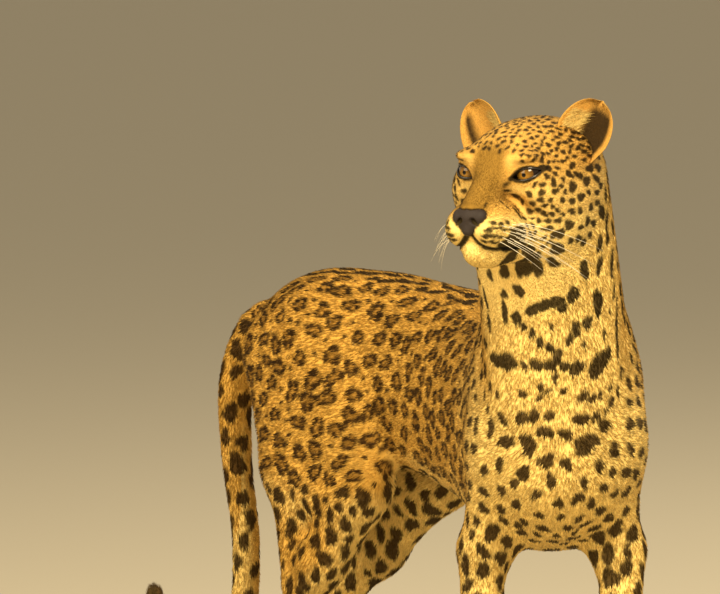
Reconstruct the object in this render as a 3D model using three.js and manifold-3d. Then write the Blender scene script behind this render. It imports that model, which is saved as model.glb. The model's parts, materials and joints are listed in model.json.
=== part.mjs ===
// A leopard standing alert, life size, in millimetres, +Z up.
// It walks off towards +X, its back bent to its right, and its head looks further round to its right.
// The flesh is one rounded form, given by a signed distance. It is turned into meshes, which thin cuts part.
import * as THREE from "three";
import { mergeVertices } from "three/addons/utils/BufferGeometryUtils.js";
import Module from "manifold-3d";

const wasm = await Module();
wasm.setup();

// Driving dimensions of the trunk. A place on it is [along, side, height]: along runs from the buttocks
// to the chest on the bent midline, and side is positive on the animal's left.
const TRUNK_LENGTH = 860;
const BEND_FROM = 230;
const BEND_TO = 700;
const HIND_HEADING = degrees(18);
const CHEST_HEADING = degrees(-25);

// Driving dimensions of the head. A place on it is [forward, left, up] from the point between the eyes.
const EYE_HEIGHT = 831;
const HEAD_AHEAD_OF_CHEST = 125;
const HEAD_SIDE = -75;
const HEAD_HEADING = degrees(-57.5);
const HEAD_PITCH = degrees(1);
const EYE_RADIUS = 16;
const EYE_SPACING = 77;

const LID = 2.4;
const EYE_TURN = degrees(16);
const EYE_SLANT = degrees(16);
const EYE_OPENING = [38, 15];
const NOSTRIL_RADIUS = 3.6;
const MOUTH_GROOVE = 2.4;

const EAR_FOOT = [-70, 57, 20];
const EAR_TURN = degrees(12);
const EAR_SPLAY = degrees(30);
const EAR_WIDTH = 66;
const EAR_HEIGHT = 70;
const EAR_CUP = 28;
const EAR_WALL = 4;

// The space between neighbours, and the size of the facets on each part.
const GAP = 0.3;
const TRUNK_CELL = 34;
const NECK_CELL = 30;
const LEG_CELL = 21;
const PAW_CELL = 12;
const TAIL_CELL = 18;
const HEAD_CELL = 10;
const NOSE_CELL = 5;
const TAIL_LENGTH_STEPS = 9;

function degrees(angle) {
  return (angle * Math.PI) / 180;
}

// Small vector helpers on plain arrays.
const sub = (a, b) => [a[0] - b[0], a[1] - b[1], a[2] - b[2]];
const dot = (a, b) => a[0] * b[0] + a[1] * b[1] + a[2] * b[2];
const length = (a) => Math.hypot(a[0], a[1], a[2]);

// The bent midline: straight at both ends, an arc to the right between them.
const bendRadius = (BEND_TO - BEND_FROM) / (HIND_HEADING - CHEST_HEADING);
const ahead = (heading) => [Math.cos(heading), Math.sin(heading)];
const leftOf = (heading) => [-Math.sin(heading), Math.cos(heading)];
const arcCentre = leftOf(HIND_HEADING).map((v) => -v * bendRadius);
const arcEnd = leftOf(CHEST_HEADING).map((v, i) => arcCentre[i] + v * bendRadius);

// From a place on the trunk to the model's own frame.
function bend([along, side, height]) {
  const onArc = Math.min(Math.max(along, BEND_FROM), BEND_TO);
  const heading = HIND_HEADING - (onArc - BEND_FROM) / bendRadius;
  const past = along - onArc;
  const [ax, ay] = ahead(heading);
  const [lx, ly] = leftOf(heading);
  return [
    arcCentre[0] + lx * (bendRadius + side) + ax * past,
    arcCentre[1] + ly * (bendRadius + side) + ay * past,
    height,
  ];
}

// The other way round: from the model's frame to a place on the trunk.
function unbend([x, y, z]) {
  const vx = x - arcCentre[0];
  const vy = y - arcCentre[1];
  const heading = Math.atan2(-vx, vy);
  if (heading > HIND_HEADING) return straight(x, y, z, HIND_HEADING, [0, 0], BEND_FROM);
  if (heading < CHEST_HEADING) return straight(x, y, z, CHEST_HEADING, arcEnd, BEND_TO);
  return [BEND_FROM + (HIND_HEADING - heading) * bendRadius, Math.hypot(vx, vy) - bendRadius, z];
}

function straight(x, y, z, heading, from, along) {
  const [ax, ay] = ahead(heading);
  const [lx, ly] = leftOf(heading);
  const dx = x - from[0];
  const dy = y - from[1];
  return [along + dx * ax + dy * ay, dx * lx + dy * ly, z];
}

// The head's own frame, placed on the end of the neck.
const headMatrix = new THREE.Matrix4()
  .makeRotationZ(HEAD_HEADING)
  .multiply(new THREE.Matrix4().makeRotationY(HEAD_PITCH))
  .setPosition(...bend([TRUNK_LENGTH + HEAD_AHEAD_OF_CHEST, HEAD_SIDE, EYE_HEIGHT]));
const intoHead = headMatrix.clone().invert().elements;

function transform(e, [x, y, z]) {
  return [
    e[0] * x + e[4] * y + e[8] * z + e[12],
    e[1] * x + e[5] * y + e[9] * z + e[13],
    e[2] * x + e[6] * y + e[10] * z + e[14],
  ];
}
const onHead = (place) => transform(headMatrix.elements, place);

// Signed distances of the plain forms, and the soft joints between them.
function ball(p, centre, radii) {
  const q = sub(p, centre);
  const scaled = length([q[0] / radii[0], q[1] / radii[1], q[2] / radii[2]]);
  const slope = length([q[0] / radii[0] ** 2, q[1] / radii[1] ** 2, q[2] / radii[2] ** 2]);
  return slope < 1e-9 ? -Math.min(...radii) : (scaled * (scaled - 1)) / slope;
}

// A muscle: a tapering bar with round ends. flat below 1 makes it thinner from side to side.
function bar(p, from, to, fromRadius, toRadius, flat = 1) {
  const axis = sub(to, from);
  const off = sub(p, from);
  const t = Math.min(Math.max(dot(off, axis) / dot(axis, axis), 0), 1);
  const away = [off[0] - axis[0] * t, (off[1] - axis[1] * t) / flat, off[2] - axis[2] * t];
  return length(away) - (fromRadius + (toRadius - fromRadius) * t);
}

function join(a, b, softness) {
  const h = Math.max(softness - Math.abs(a - b), 0) / softness;
  return Math.min(a, b) - (h * h * softness) / 4;
}

const joinAll = (distances, softness) => distances.reduce((a, b) => join(a, b, softness));

// A smooth curve through [place, value, value...] rows, read at any place.
function profile(rows) {
  return (at) => {
    const last = rows.length - 1;
    if (at <= rows[0][0]) return rows[0].slice(1);
    if (at >= rows[last][0]) return rows[last].slice(1);
    const i = rows.findIndex((row) => row[0] > at) - 1;
    const [r0, r1, r2, r3] = [rows[Math.max(i - 1, 0)], rows[i], rows[i + 1], rows[Math.min(i + 2, last)]];
    const t = (at - r1[0]) / (r2[0] - r1[0]);
    return r1.slice(1).map((_, k) => {
      const [a, b, c, d] = [r0[k + 1], r1[k + 1], r2[k + 1], r3[k + 1]];
      return b + 0.5 * t * (c - a + t * (2 * a - 5 * b + 4 * c - d + t * (3 * (b - c) + d - a)));
    });
  };
}

// The barrel of the body: back line, belly line and half width at places along it.
const barrelAt = profile([
  [30, 590, 500, 66],
  [110, 640, 462, 90],
  [200, 656, 424, 97],
  [310, 647, 398, 96],
  [430, 640, 376, 108],
  [550, 640, 356, 118],
  [660, 647, 344, 114],
  [750, 658, 350, 102],
  [830, 640, 384, 86],
]);
const BARREL_FROM = 40;
const BARREL_TO = 815;
const BARREL_SQUARENESS = 2.3;
const WIDEST_AT = 0.52;

function barrel(p) {
  const [back, belly, half] = barrelAt(p[0]);
  const middle = belly + (back - belly) * WIDEST_AT;
  const tall = p[2] > middle ? back - middle : middle - belly;
  const up = p[2] - middle;
  const m = BARREL_SQUARENESS;
  const share = (Math.abs(p[1] / half) ** m + Math.abs(up / tall) ** m) ** (1 / m);
  const out = Math.hypot(p[1], up);
  const across = share < 1e-6 ? -half : out - out / share;
  const lengthwise = Math.max(BARREL_FROM - p[0], p[0] - BARREL_TO);
  return -join(-across, -lengthwise, 60);
}

// Each leg stands a little before or behind its joint, so that the stance isn't stiff.
const STEPS = {
  foreleg_left: 26,
  foreleg_right: -18,
  hindleg_left: -42,
  hindleg_right: 40,
};

function foreleg(p, side, step) {
  const y = side * p[1];
  const q = [p[0], y, p[2]];
  const shoulder = joinAll(
    [
      bar(q, [738, 50, 612], [812, 66, 486], 46, 48, 0.72),
      bar(q, [812, 68, 484], [754, 76, 362], 46, 38, 0.85),
      bar(q, [718, 58, 540], [738, 76, 372], 48, 36, 0.75),
    ],
    34,
  );
  const elbow = [744 + step * 0.25, 84, 350];
  const wrist = [764 + step * 0.8, 80, 142];
  const paw = [780 + step, 80, 40];
  const lower = joinAll(
    [
      bar(q, elbow, [754 + step * 0.5, 83, 250], 37, 31, 0.9),
      bar(q, [752 + step * 0.5, 83, 262], wrist, 32, 23, 0.95),
      bar(q, wrist, paw, 24, 25),
    ],
    18,
  );
  return join(join(shoulder, lower, 24), pawForm(q, [796 + step, 80, 0], 1), 10);
}

function hindleg(p, side, step) {
  const y = side * p[1];
  const q = [p[0], y, p[2]];
  const thigh = joinAll(
    [
      bar(q, [158, 52, 556], [238, 76, 400], 78, 50, 0.72),
      bar(q, [62, 40, 536], [112, 66, 408], 52, 48, 0.8),
      bar(q, [150, 60, 470], [180, 72, 400], 70, 58, 0.72),
    ],
    40,
  );
  const knee = [238 + step * 0.3, 78, 392];
  const hock = [70 + step * 0.9, 74, 196];
  const toeRoot = [104 + step, 76, 52];
  const shin = joinAll(
    [
      bar(q, knee, [150 + step * 0.6, 78, 286], 46, 33, 0.85),
      bar(q, [154 + step * 0.6, 78, 292], hock, 34, 22, 0.85),
      bar(q, [100 + step * 0.5, 70, 400], [88 + step * 0.8, 75, 262], 40, 20, 0.8),
    ],
    26,
  );
  const foot = joinAll(
    [bar(q, hock, toeRoot, 23, 22), bar(q, [56 + step * 0.9, 74, 206], [72 + step * 0.9, 74, 184], 15, 17)],
    14,
  );
  return join(join(join(thigh, shin, 36), foot, 14), pawForm(q, [124 + step, 77, 0], 0.92), 10);
}

// A paw: a body, a heel pad and four toes in a curved row, standing on the floor.
const TOES = [
  [24, -27, 0.92],
  [39, -10, 1.02],
  [39, 9, 1],
  [25, 25, 0.9],
];

function pawForm(q, at, size) {
  const p = sub(q, at).map((v) => v / size);
  const body = join(ball(p, [0, 0, 34], [38, 34, 25]), ball(p, [-8, 0, 16], [26, 30, 19]), 12);
  const toes = TOES.map(([forward, left, scale]) =>
    ball(p, [forward, left, 17 * scale], [25 * scale, 12.5 * scale, 18.5 * scale]),
  );
  return join(body, Math.min(...toes), 9) * size;
}

// The neck rises from the chest and turns to the head.
const neckTop = onHead([-98, 11, -8]);
const neckThroat = onHead([-62, 0, -66]);
function neck(p) {
  return joinAll(
    [
      bar(p, bend([752, 11, 566]), neckTop, 92, 70),
      bar(p, bend([826, 6, 520]), onHead([-78, 6, -40]), 88, 72),
      bar(p, bend([842, 3, 470]), neckThroat, 72, 50),
    ],
    44,
  );
}

// The tail hangs behind the hind legs and turns up at its tip.
const tailLine = new THREE.CatmullRomCurve3(
  [
    [44, 0, 584],
    [-18, 0, 566],
    [-58, 2, 496],
    [-64, 8, 396],
    [-58, 18, 290],
    [-78, 32, 190],
    [-128, 48, 122],
    [-196, 64, 106],
    [-262, 78, 140],
    [-296, 86, 196],
  ].map((place) => new THREE.Vector3(...bend(place))),
);
const TAIL_RADII = profile([
  [0, 34],
  [0.12, 29],
  [0.4, 23],
  [0.85, 21.5],
  [1, 16],
]);
const tailPlaces = tailLine.getSpacedPoints(TAIL_LENGTH_STEPS * 4).map((v) => v.toArray());

function tail(p) {
  let nearest = Infinity;
  const last = tailPlaces.length - 1;
  for (let i = 0; i < last; i++) {
    const [from] = TAIL_RADII(i / last);
    const [to] = TAIL_RADII((i + 1) / last);
    nearest = Math.min(nearest, bar(p, tailPlaces[i], tailPlaces[i + 1], from, to));
  }
  return nearest;
}

// The head without its ears, eyes and nose leather. Both sides are alike.
function head(world) {
  const [x, y, z] = transform(intoHead, world);
  const p = [x, Math.abs(y), z];
  const skull = joinAll(
    [
      ball(p, [-60, 0, 3], [84, 62, 58]),
      ball(p, [-10, 0, 8], [40, 48, 30]),
      ball(p, [-36, 46, -22], [48, 33, 36]),
      ball(p, [-54, 48, -56], [46, 32, 42]),
      ball(p, [-50, 0, -66], [64, 58, 40]),
    ],
    22,
  );
  const muzzle = joinAll(
    [
      bar(p, [6, 0, 2], [66, 0, -42], 24, 18),
      ball(p, [32, 0, -56], [46, 42, 32]),
      ball(p, [51, 19.5, -62], [32, 22.5, 25]),
      ball(p, [18, 35, -70], [36, 16, 18]),
    ],
    12,
  );
  const chin = ball(p, [46, 0, -91], [28, 22, 19]);
  const jaw = join(chin, bar(p, [36, 10, -91], [-50, 42, -80], 18, 26), 12);
  const brow = ball(p, [6, 34, 20], [22, 22, 10]);
  return joinAll([skull, muzzle, jaw, brow], 12);
}

// The whole flesh: trunk and legs in trunk places, neck, tail and head in the model's frame.
function flesh(p) {
  const q = unbend(p);
  const chest = ball(q, [796, 0, 486], [76, 86, 116]);
  const rump = ball(q, [112, 0, 556], [108, 88, 92]);
  const body = joinAll([barrel(q), chest, rump], 40);
  const limbs = Math.min(
    join(foreleg(q, 1, STEPS.foreleg_left), foreleg(q, -1, STEPS.foreleg_right), 10),
    join(hindleg(q, 1, STEPS.hindleg_left), hindleg(q, -1, STEPS.hindleg_right), 10),
  );
  const trunk = join(body, limbs, 34);
  return join(join(join(trunk, neck(p), 50), head(p), 16), tail(p), 18);
}

// A closed mesh of where a signed distance is negative inside a box, on a grid of the given cell.
// Blocks of the grid far from the surface are read only once.
const BLOCK = 4;
const FAR = 1.5;
function surface(distance, low, high, cell) {
  const count = low.map((v, i) => Math.ceil((high[i] - v) / cell) + 1);
  const [nx, ny, nz] = count;
  const index = (i, j, k) => (k * ny + j) * nx + i;
  const values = new Float64Array(nx * ny * nz);
  const place = (i, j, k) => [low[0] + i * cell, low[1] + j * cell, low[2] + k * cell];
  for (let k = 0; k < nz; k += BLOCK)
    for (let j = 0; j < ny; j += BLOCK)
      for (let i = 0; i < nx; i += BLOCK) {
        const half = (BLOCK - 1) / 2;
        const rough = distance(place(i + half, j + half, k + half));
        const far = Math.abs(rough) > BLOCK * cell * FAR;
        for (let c = k; c < Math.min(k + BLOCK, nz); c++)
          for (let b = j; b < Math.min(j + BLOCK, ny); b++)
            for (let a = i; a < Math.min(i + BLOCK, nx); a++) {
              const edge = !a || !b || !c || a === nx - 1 || b === ny - 1 || c === nz - 1;
              const d = far ? rough : distance(place(a, b, c));
              values[index(a, b, c)] = edge ? Math.max(d, cell * 0.3) : d;
            }
      }
  const corners = [0, 1, 2, 3, 4, 5, 6, 7].map((c) => [c & 1, (c >> 1) & 1, (c >> 2) & 1]);
  const offsets = corners.map(([a, b, c]) => index(a, b, c));
  fillDoubtful(values, [nx, ny, nz], offsets, cell);
  const edges = [];
  for (let a = 0; a < 8; a++)
    for (const bit of [1, 2, 4]) if (!(a & bit)) edges.push([a, a | bit]);
  const points = [];
  const cellPoint = new Map();
  for (let k = 0; k < nz - 1; k++)
    for (let j = 0; j < ny - 1; j++)
      for (let i = 0; i < nx - 1; i++) {
        const v = corners.map(([a, b, c]) => values[index(i + a, j + b, k + c)]);
        const sum = [0, 0, 0];
        let crossings = 0;
        for (const [a, b] of edges) {
          if (v[a] < 0 === v[b] < 0) continue;
          const t = v[a] / (v[a] - v[b]);
          sum.forEach((_, m) => (sum[m] += corners[a][m] + (corners[b][m] - corners[a][m]) * t));
          crossings++;
        }
        if (!crossings) continue;
        cellPoint.set(index(i, j, k), points.length);
        points.push([i, j, k].map((g, m) => low[m] + (g + sum[m] / crossings) * cell));
      }
  const triangles = [];
  const steps = [1, nx, nx * ny];
  for (let k = 0; k < nz - 1; k++)
    for (let j = 0; j < ny - 1; j++)
      for (let i = 0; i < nx - 1; i++) {
        const at = index(i, j, k);
        for (let axis = 0; axis < 3; axis++) {
          const inside = values[at] < 0;
          if (inside === values[at + steps[axis]] < 0) continue;
          const u = steps[(axis + 1) % 3];
          const w = steps[(axis + 2) % 3];
          const ring = [at - u - w, at - w, at, at - u].map((c) => cellPoint.get(c));
          if (!inside) ring.reverse();
          triangles.push(...splitQuad(ring, points));
        }
      }
  settle(points, triangles, distance, cell, low, high);
  return { points, triangles };
}

// Where two sheets of the surface would touch inside one cell, the cell is filled a little,
// so that the mesh stays one closed skin.
const CELL_FACES = [
  [0, 1, 3, 2],
  [4, 5, 7, 6],
  [0, 1, 5, 4],
  [2, 3, 7, 6],
  [0, 2, 6, 4],
  [1, 3, 7, 5],
];

function fillDoubtful(values, [nx, ny, nz], offsets, cell) {
  let open = true;
  while (open) {
    open = false;
    for (let k = 0; k < nz - 1; k++)
      for (let j = 0; j < ny - 1; j++)
        for (let i = 0; i < nx - 1; i++) {
          const at = (k * ny + j) * nx + i;
          const inside = offsets.map((o) => values[at + o] < 0);
          const some = inside.some((v) => v);
          if (!some || inside.every((v) => v) || !doubtful(inside)) continue;
          const outer = offsets.map((o) => at + o).filter((o) => values[o] >= 0);
          const nearest = outer.reduce((a, b) => (values[b] < values[a] ? b : a));
          values[nearest] = -cell * 0.02;
          open = true;
        }
  }
}

function doubtful(inside) {
  const crossed = CELL_FACES.some((face) => {
    const [a, b, c, d] = face.map((corner) => inside[corner]);
    return a === c && b === d && a !== b;
  });
  return crossed || !connected(inside, true) || !connected(inside, false);
}

function connected(inside, wanted) {
  const members = [0, 1, 2, 3, 4, 5, 6, 7].filter((c) => inside[c] === wanted);
  const reached = new Set(members.slice(0, 1));
  for (const c of reached)
    for (const bit of [1, 2, 4]) if (inside[c ^ bit] === wanted) reached.add(c ^ bit);
  return reached.size === members.length;
}

// The shorter diagonal makes the rounder pair of triangles.
function splitQuad([a, b, c, d], points) {
  const first = length(sub(points[a], points[c]));
  const second = length(sub(points[b], points[d]));
  return first < second ? [a, b, c, a, c, d] : [a, b, d, b, c, d];
}

// Evens the points out along the surface, and sets them on it exactly.
const SETTLING_ROUNDS = 3;
function settle(points, triangles, distance, cell, low, high) {
  const nearEdge = (p) => p.some((v, i) => v < low[i] + cell * 1.5 || v > high[i] - cell * 1.5);
  for (let round = 0; round < SETTLING_ROUNDS; round++) {
    const sums = points.map(() => [0, 0, 0, 0]);
    for (let t = 0; t < triangles.length; t += 3)
      for (let c = 0; c < 3; c++) {
        const to = sums[triangles[t + c]];
        const from = points[triangles[t + ((c + 1) % 3)]];
        from.forEach((v, m) => (to[m] += v));
        to[3]++;
      }
    points.forEach((p, i) => {
      if (nearEdge(p)) return;
      const even = p.map((v, m) => v + 0.5 * (sums[i][m] / sums[i][3] - v));
      const [d, slope] = steepness(distance, even);
      const limit = Math.min(Math.max(d, -cell), cell);
      const square = Math.max(dot(slope, slope), 0.2);
      p.forEach((_, m) => (p[m] = even[m] - (limit * slope[m]) / square));
    });
  }
}

const PROBE = 0.5;
function steepness(distance, p) {
  const d = distance(p);
  const slope = [0, 1, 2].map((m) => {
    const q = p.slice();
    q[m] += PROBE;
    return (distance(q) - d) / PROBE;
  });
  return [d, slope];
}

// Solids and meshes.
function solid({ points, triangles }) {
  const made = new wasm.Mesh({
    numProp: 3,
    vertProperties: new Float32Array(points.flat()),
    triVerts: new Uint32Array(triangles),
  });
  return new wasm.Manifold(made);
}

function solidOf(geometry, matrix = new THREE.Matrix4()) {
  const bare = geometry.index ? geometry.toNonIndexed() : geometry.clone();
  bare.deleteAttribute("normal");
  bare.deleteAttribute("uv");
  bare.applyMatrix4(matrix);
  const merged = mergeVertices(bare, 1e-3);
  const made = new wasm.Mesh({
    numProp: 3,
    vertProperties: new Float32Array(merged.attributes.position.array),
    triVerts: new Uint32Array(merged.index.array),
  });
  return new wasm.Manifold(made);
}

// The same mesh with every point moved out along its normal.
function grown({ points, triangles }, by) {
  const normals = points.map(() => [0, 0, 0]);
  for (let t = 0; t < triangles.length; t += 3) {
    const [a, b, c] = [0, 1, 2].map((i) => points[triangles[t + i]]);
    const u = sub(b, a);
    const v = sub(c, a);
    const n = [u[1] * v[2] - u[2] * v[1], u[2] * v[0] - u[0] * v[2], u[0] * v[1] - u[1] * v[0]];
    for (let i = 0; i < 3; i++) n.forEach((w, m) => (normals[triangles[t + i]][m] += w));
  }
  const moved = points.map((p, i) => p.map((v, m) => v + (normals[i][m] / length(normals[i])) * by));
  return { points: moved, triangles };
}

// A half space as a big block: everything on the outer side of a plane.
const HUGE = 3000;
function beyond(point, outward) {
  const turn = new THREE.Quaternion().setFromUnitVectors(
    new THREE.Vector3(0, 0, 1),
    new THREE.Vector3(...outward).normalize(),
  );
  const placed = new THREE.Matrix4()
    .makeRotationFromQuaternion(turn)
    .setPosition(...point)
    .multiply(new THREE.Matrix4().makeTranslation(0, 0, HUGE / 2 - GAP / 2));
  return solidOf(new THREE.BoxGeometry(HUGE, HUGE, HUGE), placed);
}

function largest(made) {
  return made.decompose().reduce((a, b) => (b.volume() > a.volume() ? b : a));
}

// The cuts that part the body. Each is a place on a plane, and the side of it that is cut away.
const opposite = ([point, away]) => [point, away.map((v) => -v)];
const trunkPlane = (place, away) => {
  const from = bend(place);
  return [from, sub(bend(place.map((v, m) => v + away[m])), from)];
};
const headPlane = (place, away) => [onHead(place), sub(onHead(away), onHead([0, 0, 0]))];

const FLOOR = [[0, 0, -GAP / 2], [0, 0, -1]];
const HEAD_BASE = headPlane([-92, 0, -40], [-0.8, 0, -0.6]);
const NECK_BASE = trunkPlane([806, 0, 590], [0.8, 0, 0.6]);
const TAIL_BASE = trunkPlane([-3, 0, 560], [-1, 0, 0]);

// The planes round each leg where it leaves the trunk: over it, between the legs, before and behind.
const legPlanes = (front, s) =>
  front
    ? [
        trunkPlane([760, s * 34, 345], [0, -s * 0.75, 0.66]),
        trunkPlane([692, 0, 350], [-1, 0, 0.15]),
        trunkPlane([884, 0, 400], [1, 0, 0]),
      ]
    : [
        trunkPlane([150, s * 28, 402], [0, -s * 0.9, 0.43]),
        trunkPlane([150, 0, 300], [0, -s, 0]),
        trunkPlane([304, 0, 400], [0.9, 0, 0.44]),
        TAIL_BASE,
      ];

const FLESH = 0xb98a3e;
const NOSE = 0x6b4438;
const EYE = 0xb08432;
const group = new THREE.Group();

function addMesh(name, made, color = FLESH, roughness = 0.85) {
  const mesh = made.getMesh();
  const geometry = new THREE.BufferGeometry()
    .setAttribute("position", new THREE.BufferAttribute(new Float32Array(mesh.vertProperties), 3))
    .setIndex(new THREE.BufferAttribute(new Uint32Array(mesh.triVerts), 1));
  geometry.computeVertexNormals();
  const material = new THREE.MeshStandardMaterial({ color, roughness, metalness: 0 });
  const node = new THREE.Mesh(geometry, material);
  node.name = name;
  group.add(node);
}

// The flesh in the box round some places, with room to spare, less what lies beyond the cuts.
function fleshRound(places, room, cell) {
  const low = [0, 1, 2].map((m) => Math.min(...places.map((p) => p[m])) - room);
  const high = [0, 1, 2].map((m) => Math.max(...places.map((p) => p[m])) + room);
  return surface(flesh, low, high, cell);
}

function cutBy(made, cuts) {
  return largest(cuts.reduce((rest, [point, away]) => rest.subtract(beyond(point, away)), made));
}

// The room inside all the given planes, grown by the gap on each.
function roomInside(planes) {
  const all = solidOf(new THREE.BoxGeometry(HUGE, HUGE, HUGE));
  const grownOut = planes.map(([point, away]) => {
    const step = GAP / length(away);
    return [point.map((v, m) => v + away[m] * step), away];
  });
  return grownOut.reduce((rest, [point, away]) => rest.subtract(beyond(point, away)), all);
}

const SIDES = [
  ["left", 1],
  ["right", -1],
];
const TRUNK_CORNERS = [
  [0, 0, 330],
  [430, 0, 330],
  [900, 0, 700],
  [800, 130, 400],
  [800, -130, 400],
  [0, 130, 400],
];
const trunkMesh = fleshRound(TRUNK_CORNERS.map(bend), 60, TRUNK_CELL);
let torso = cutBy(solid(trunkMesh), [NECK_BASE, TAIL_BASE]);
for (const [, s] of SIDES)
  for (const front of [true, false]) torso = torso.subtract(roomInside(legPlanes(front, s)));
addMesh("torso", largest(torso));

const neckCorners = [bend([740, 0, 440]), bend([900, 0, 520]), onHead([-100, 0, 60]), onHead([-20, 0, -110])];
const neckMesh = fleshRound(neckCorners, 120, NECK_CELL);
addMesh("neck", cutBy(solid(neckMesh), [opposite(NECK_BASE), opposite(HEAD_BASE)]));

// A leg or a paw is read in the box round its corners, which are places on the trunk.
const LEG_ROOM = 40;
const PAW_ROOM = 30;
for (const [side, s] of SIDES) {
  const fore = STEPS["foreleg_" + side];
  const foreCorners = [bend([700, s * 34, 0]), bend([870, s * 100, 480])];
  const foreleg = cutBy(solid(fleshRound(foreCorners, LEG_ROOM, LEG_CELL)), [...legPlanes(true, s), FLOOR]);
  const wrist = trunkPlane([778 + fore, s * 80, 96], [0.15, 0, -1]);
  addMesh("foreleg_" + side, cutBy(foreleg, [wrist]));
  const forePawCorners = [bend([760 + fore, s * 40, 0]), bend([860 + fore, s * 120, 100])];
  const forePaw = solid(fleshRound(forePawCorners, PAW_ROOM, PAW_CELL));
  addMesh("forepaw_" + side, cutBy(forePaw, [opposite(wrist), FLOOR]));

  const hind = STEPS["hindleg_" + side];
  const hindCorners = [bend([0, s * 10, 0]), bend([290, s * 110, 560]), bend([0, s * 110, 0])];
  const hindleg = cutBy(solid(fleshRound(hindCorners, LEG_ROOM, LEG_CELL)), [...legPlanes(false, s), FLOOR]);
  const knee = trunkPlane([190 + hind * 0.4, s * 70, 330], [-0.55, 0, -0.83]);
  const ankle = trunkPlane([92 + hind * 0.95, s * 75, 92], [0.2, 0, -1]);
  addMesh("thigh_" + side, cutBy(hindleg, [knee]));
  addMesh("shin_" + side, cutBy(hindleg, [opposite(knee), ankle]));
  const hindPawCorners = [bend([90 + hind, s * 40, 0]), bend([190 + hind, s * 115, 100])];
  const hindPaw = solid(fleshRound(hindPawCorners, PAW_ROOM, PAW_CELL));
  addMesh("hindpaw_" + side, cutBy(hindPaw, [opposite(ankle), FLOOR]));
}

// The tail in three lengths, parted at shares of its length.
const TAIL_CUTS = [0.4, 0.7];
const tailMade = cutBy(solid(fleshRound(tailPlaces, 45, TAIL_CELL)), [opposite(TAIL_BASE)]);
const [upperCut, lowerCut] = TAIL_CUTS.map((at) => [
  tailLine.getPointAt(at).toArray(),
  tailLine.getTangentAt(at).toArray(),
]);
addMesh("tail_base", cutBy(tailMade, [upperCut]));
addMesh("tail_middle", cutBy(tailMade, [opposite(upperCut), lowerCut]));
addMesh("tail_tip", cutBy(tailMade, [opposite(lowerCut)]));

// The head, with its eyes, nose leather, mouth line and ears.
const HEAD_CORNERS = [
  [-150, -60, 60],
  [-150, 60, 60],
  [70, 0, -100],
  [-110, 0, -100],
  [0, 62, 0],
  [0, -62, 0],
];
const headMesh = fleshRound(HEAD_CORNERS.map(onHead), 32, HEAD_CELL);
let skull = cutBy(solid(headMesh), [HEAD_BASE]);

// An almond prism that opens the lids over the eye.
function almond(width, height, depth) {
  const outline = new THREE.Shape();
  outline.moveTo(-width / 2, 0);
  outline.quadraticCurveTo(0, height * 1.15, width / 2, 0);
  outline.quadraticCurveTo(0, -height * 0.85, -width / 2, 0);
  return new THREE.ExtrudeGeometry(outline, { depth, bevelEnabled: false, curveSegments: 8 });
}

const eyeBall = (radius, placed) => solidOf(new THREE.SphereGeometry(radius, 18, 12), placed);

for (const [side, s] of SIDES) {
  const centre = [0, (s * EYE_SPACING) / 2, 0];
  const placed = headMatrix.clone().multiply(new THREE.Matrix4().makeTranslation(...centre));
  const outwards = new THREE.Matrix4().set(0, 0, 1, 0, 1, 0, 0, 0, 0, 1, 0, 0, 0, 0, 0, 1);
  const look = placed
    .clone()
    .multiply(new THREE.Matrix4().makeRotationZ(s * EYE_TURN))
    .multiply(new THREE.Matrix4().makeRotationX(s * EYE_SLANT))
    .multiply(outwards);
  const opening = solidOf(almond(...EYE_OPENING, 60), look);
  const lids = eyeBall(EYE_RADIUS + LID, placed);
  const socket = eyeBall(EYE_RADIUS + GAP, placed);
  skull = skull.add(lids).subtract(socket).subtract(opening);
  addMesh("eye_" + side, eyeBall(EYE_RADIUS, placed), EYE, 0.15);
}

// A round rod through a few places.
const ROD_SIDES = 6;
function rod(places, radius) {
  const path = new THREE.CatmullRomCurve3(places.map((place) => new THREE.Vector3(...place)));
  const rings = (places.length - 1) * 2;
  const { normals, binormals } = path.computeFrenetFrames(rings);
  const points = [];
  for (let i = 0; i <= rings; i++)
    for (let j = 0; j < ROD_SIDES; j++) {
      const turn = (2 * Math.PI * j) / ROD_SIDES;
      const place = path.getPointAt(i / rings);
      place.addScaledVector(normals[i], Math.cos(turn) * radius);
      place.addScaledVector(binormals[i], Math.sin(turn) * radius);
      points.push(place.toArray());
    }
  const triangles = [];
  for (let i = 0; i < rings; i++)
    for (let j = 0; j < ROD_SIDES; j++) {
      const next = (j + 1) % ROD_SIDES;
      const [a, b, c, d] = [[i, j], [i, next], [i + 1, next], [i + 1, j]].map(([r, k]) => r * ROD_SIDES + k);
      triangles.push(a, b, c, a, c, d);
    }
  const end = rings * ROD_SIDES;
  for (let k = 1; k < ROD_SIDES - 1; k++) triangles.push(0, k + 1, k, end, end + k, end + k + 1);
  return solid({ points, triangles });
}

// The nearest place on the flesh.
function onFlesh(place) {
  let p = place;
  for (let round = 0; round < SETTLING_ROUNDS; round++) {
    const [d, slope] = steepness(flesh, p);
    p = p.map((v, m) => v - (d * slope[m]) / dot(slope, slope));
  }
  return p;
}

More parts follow.
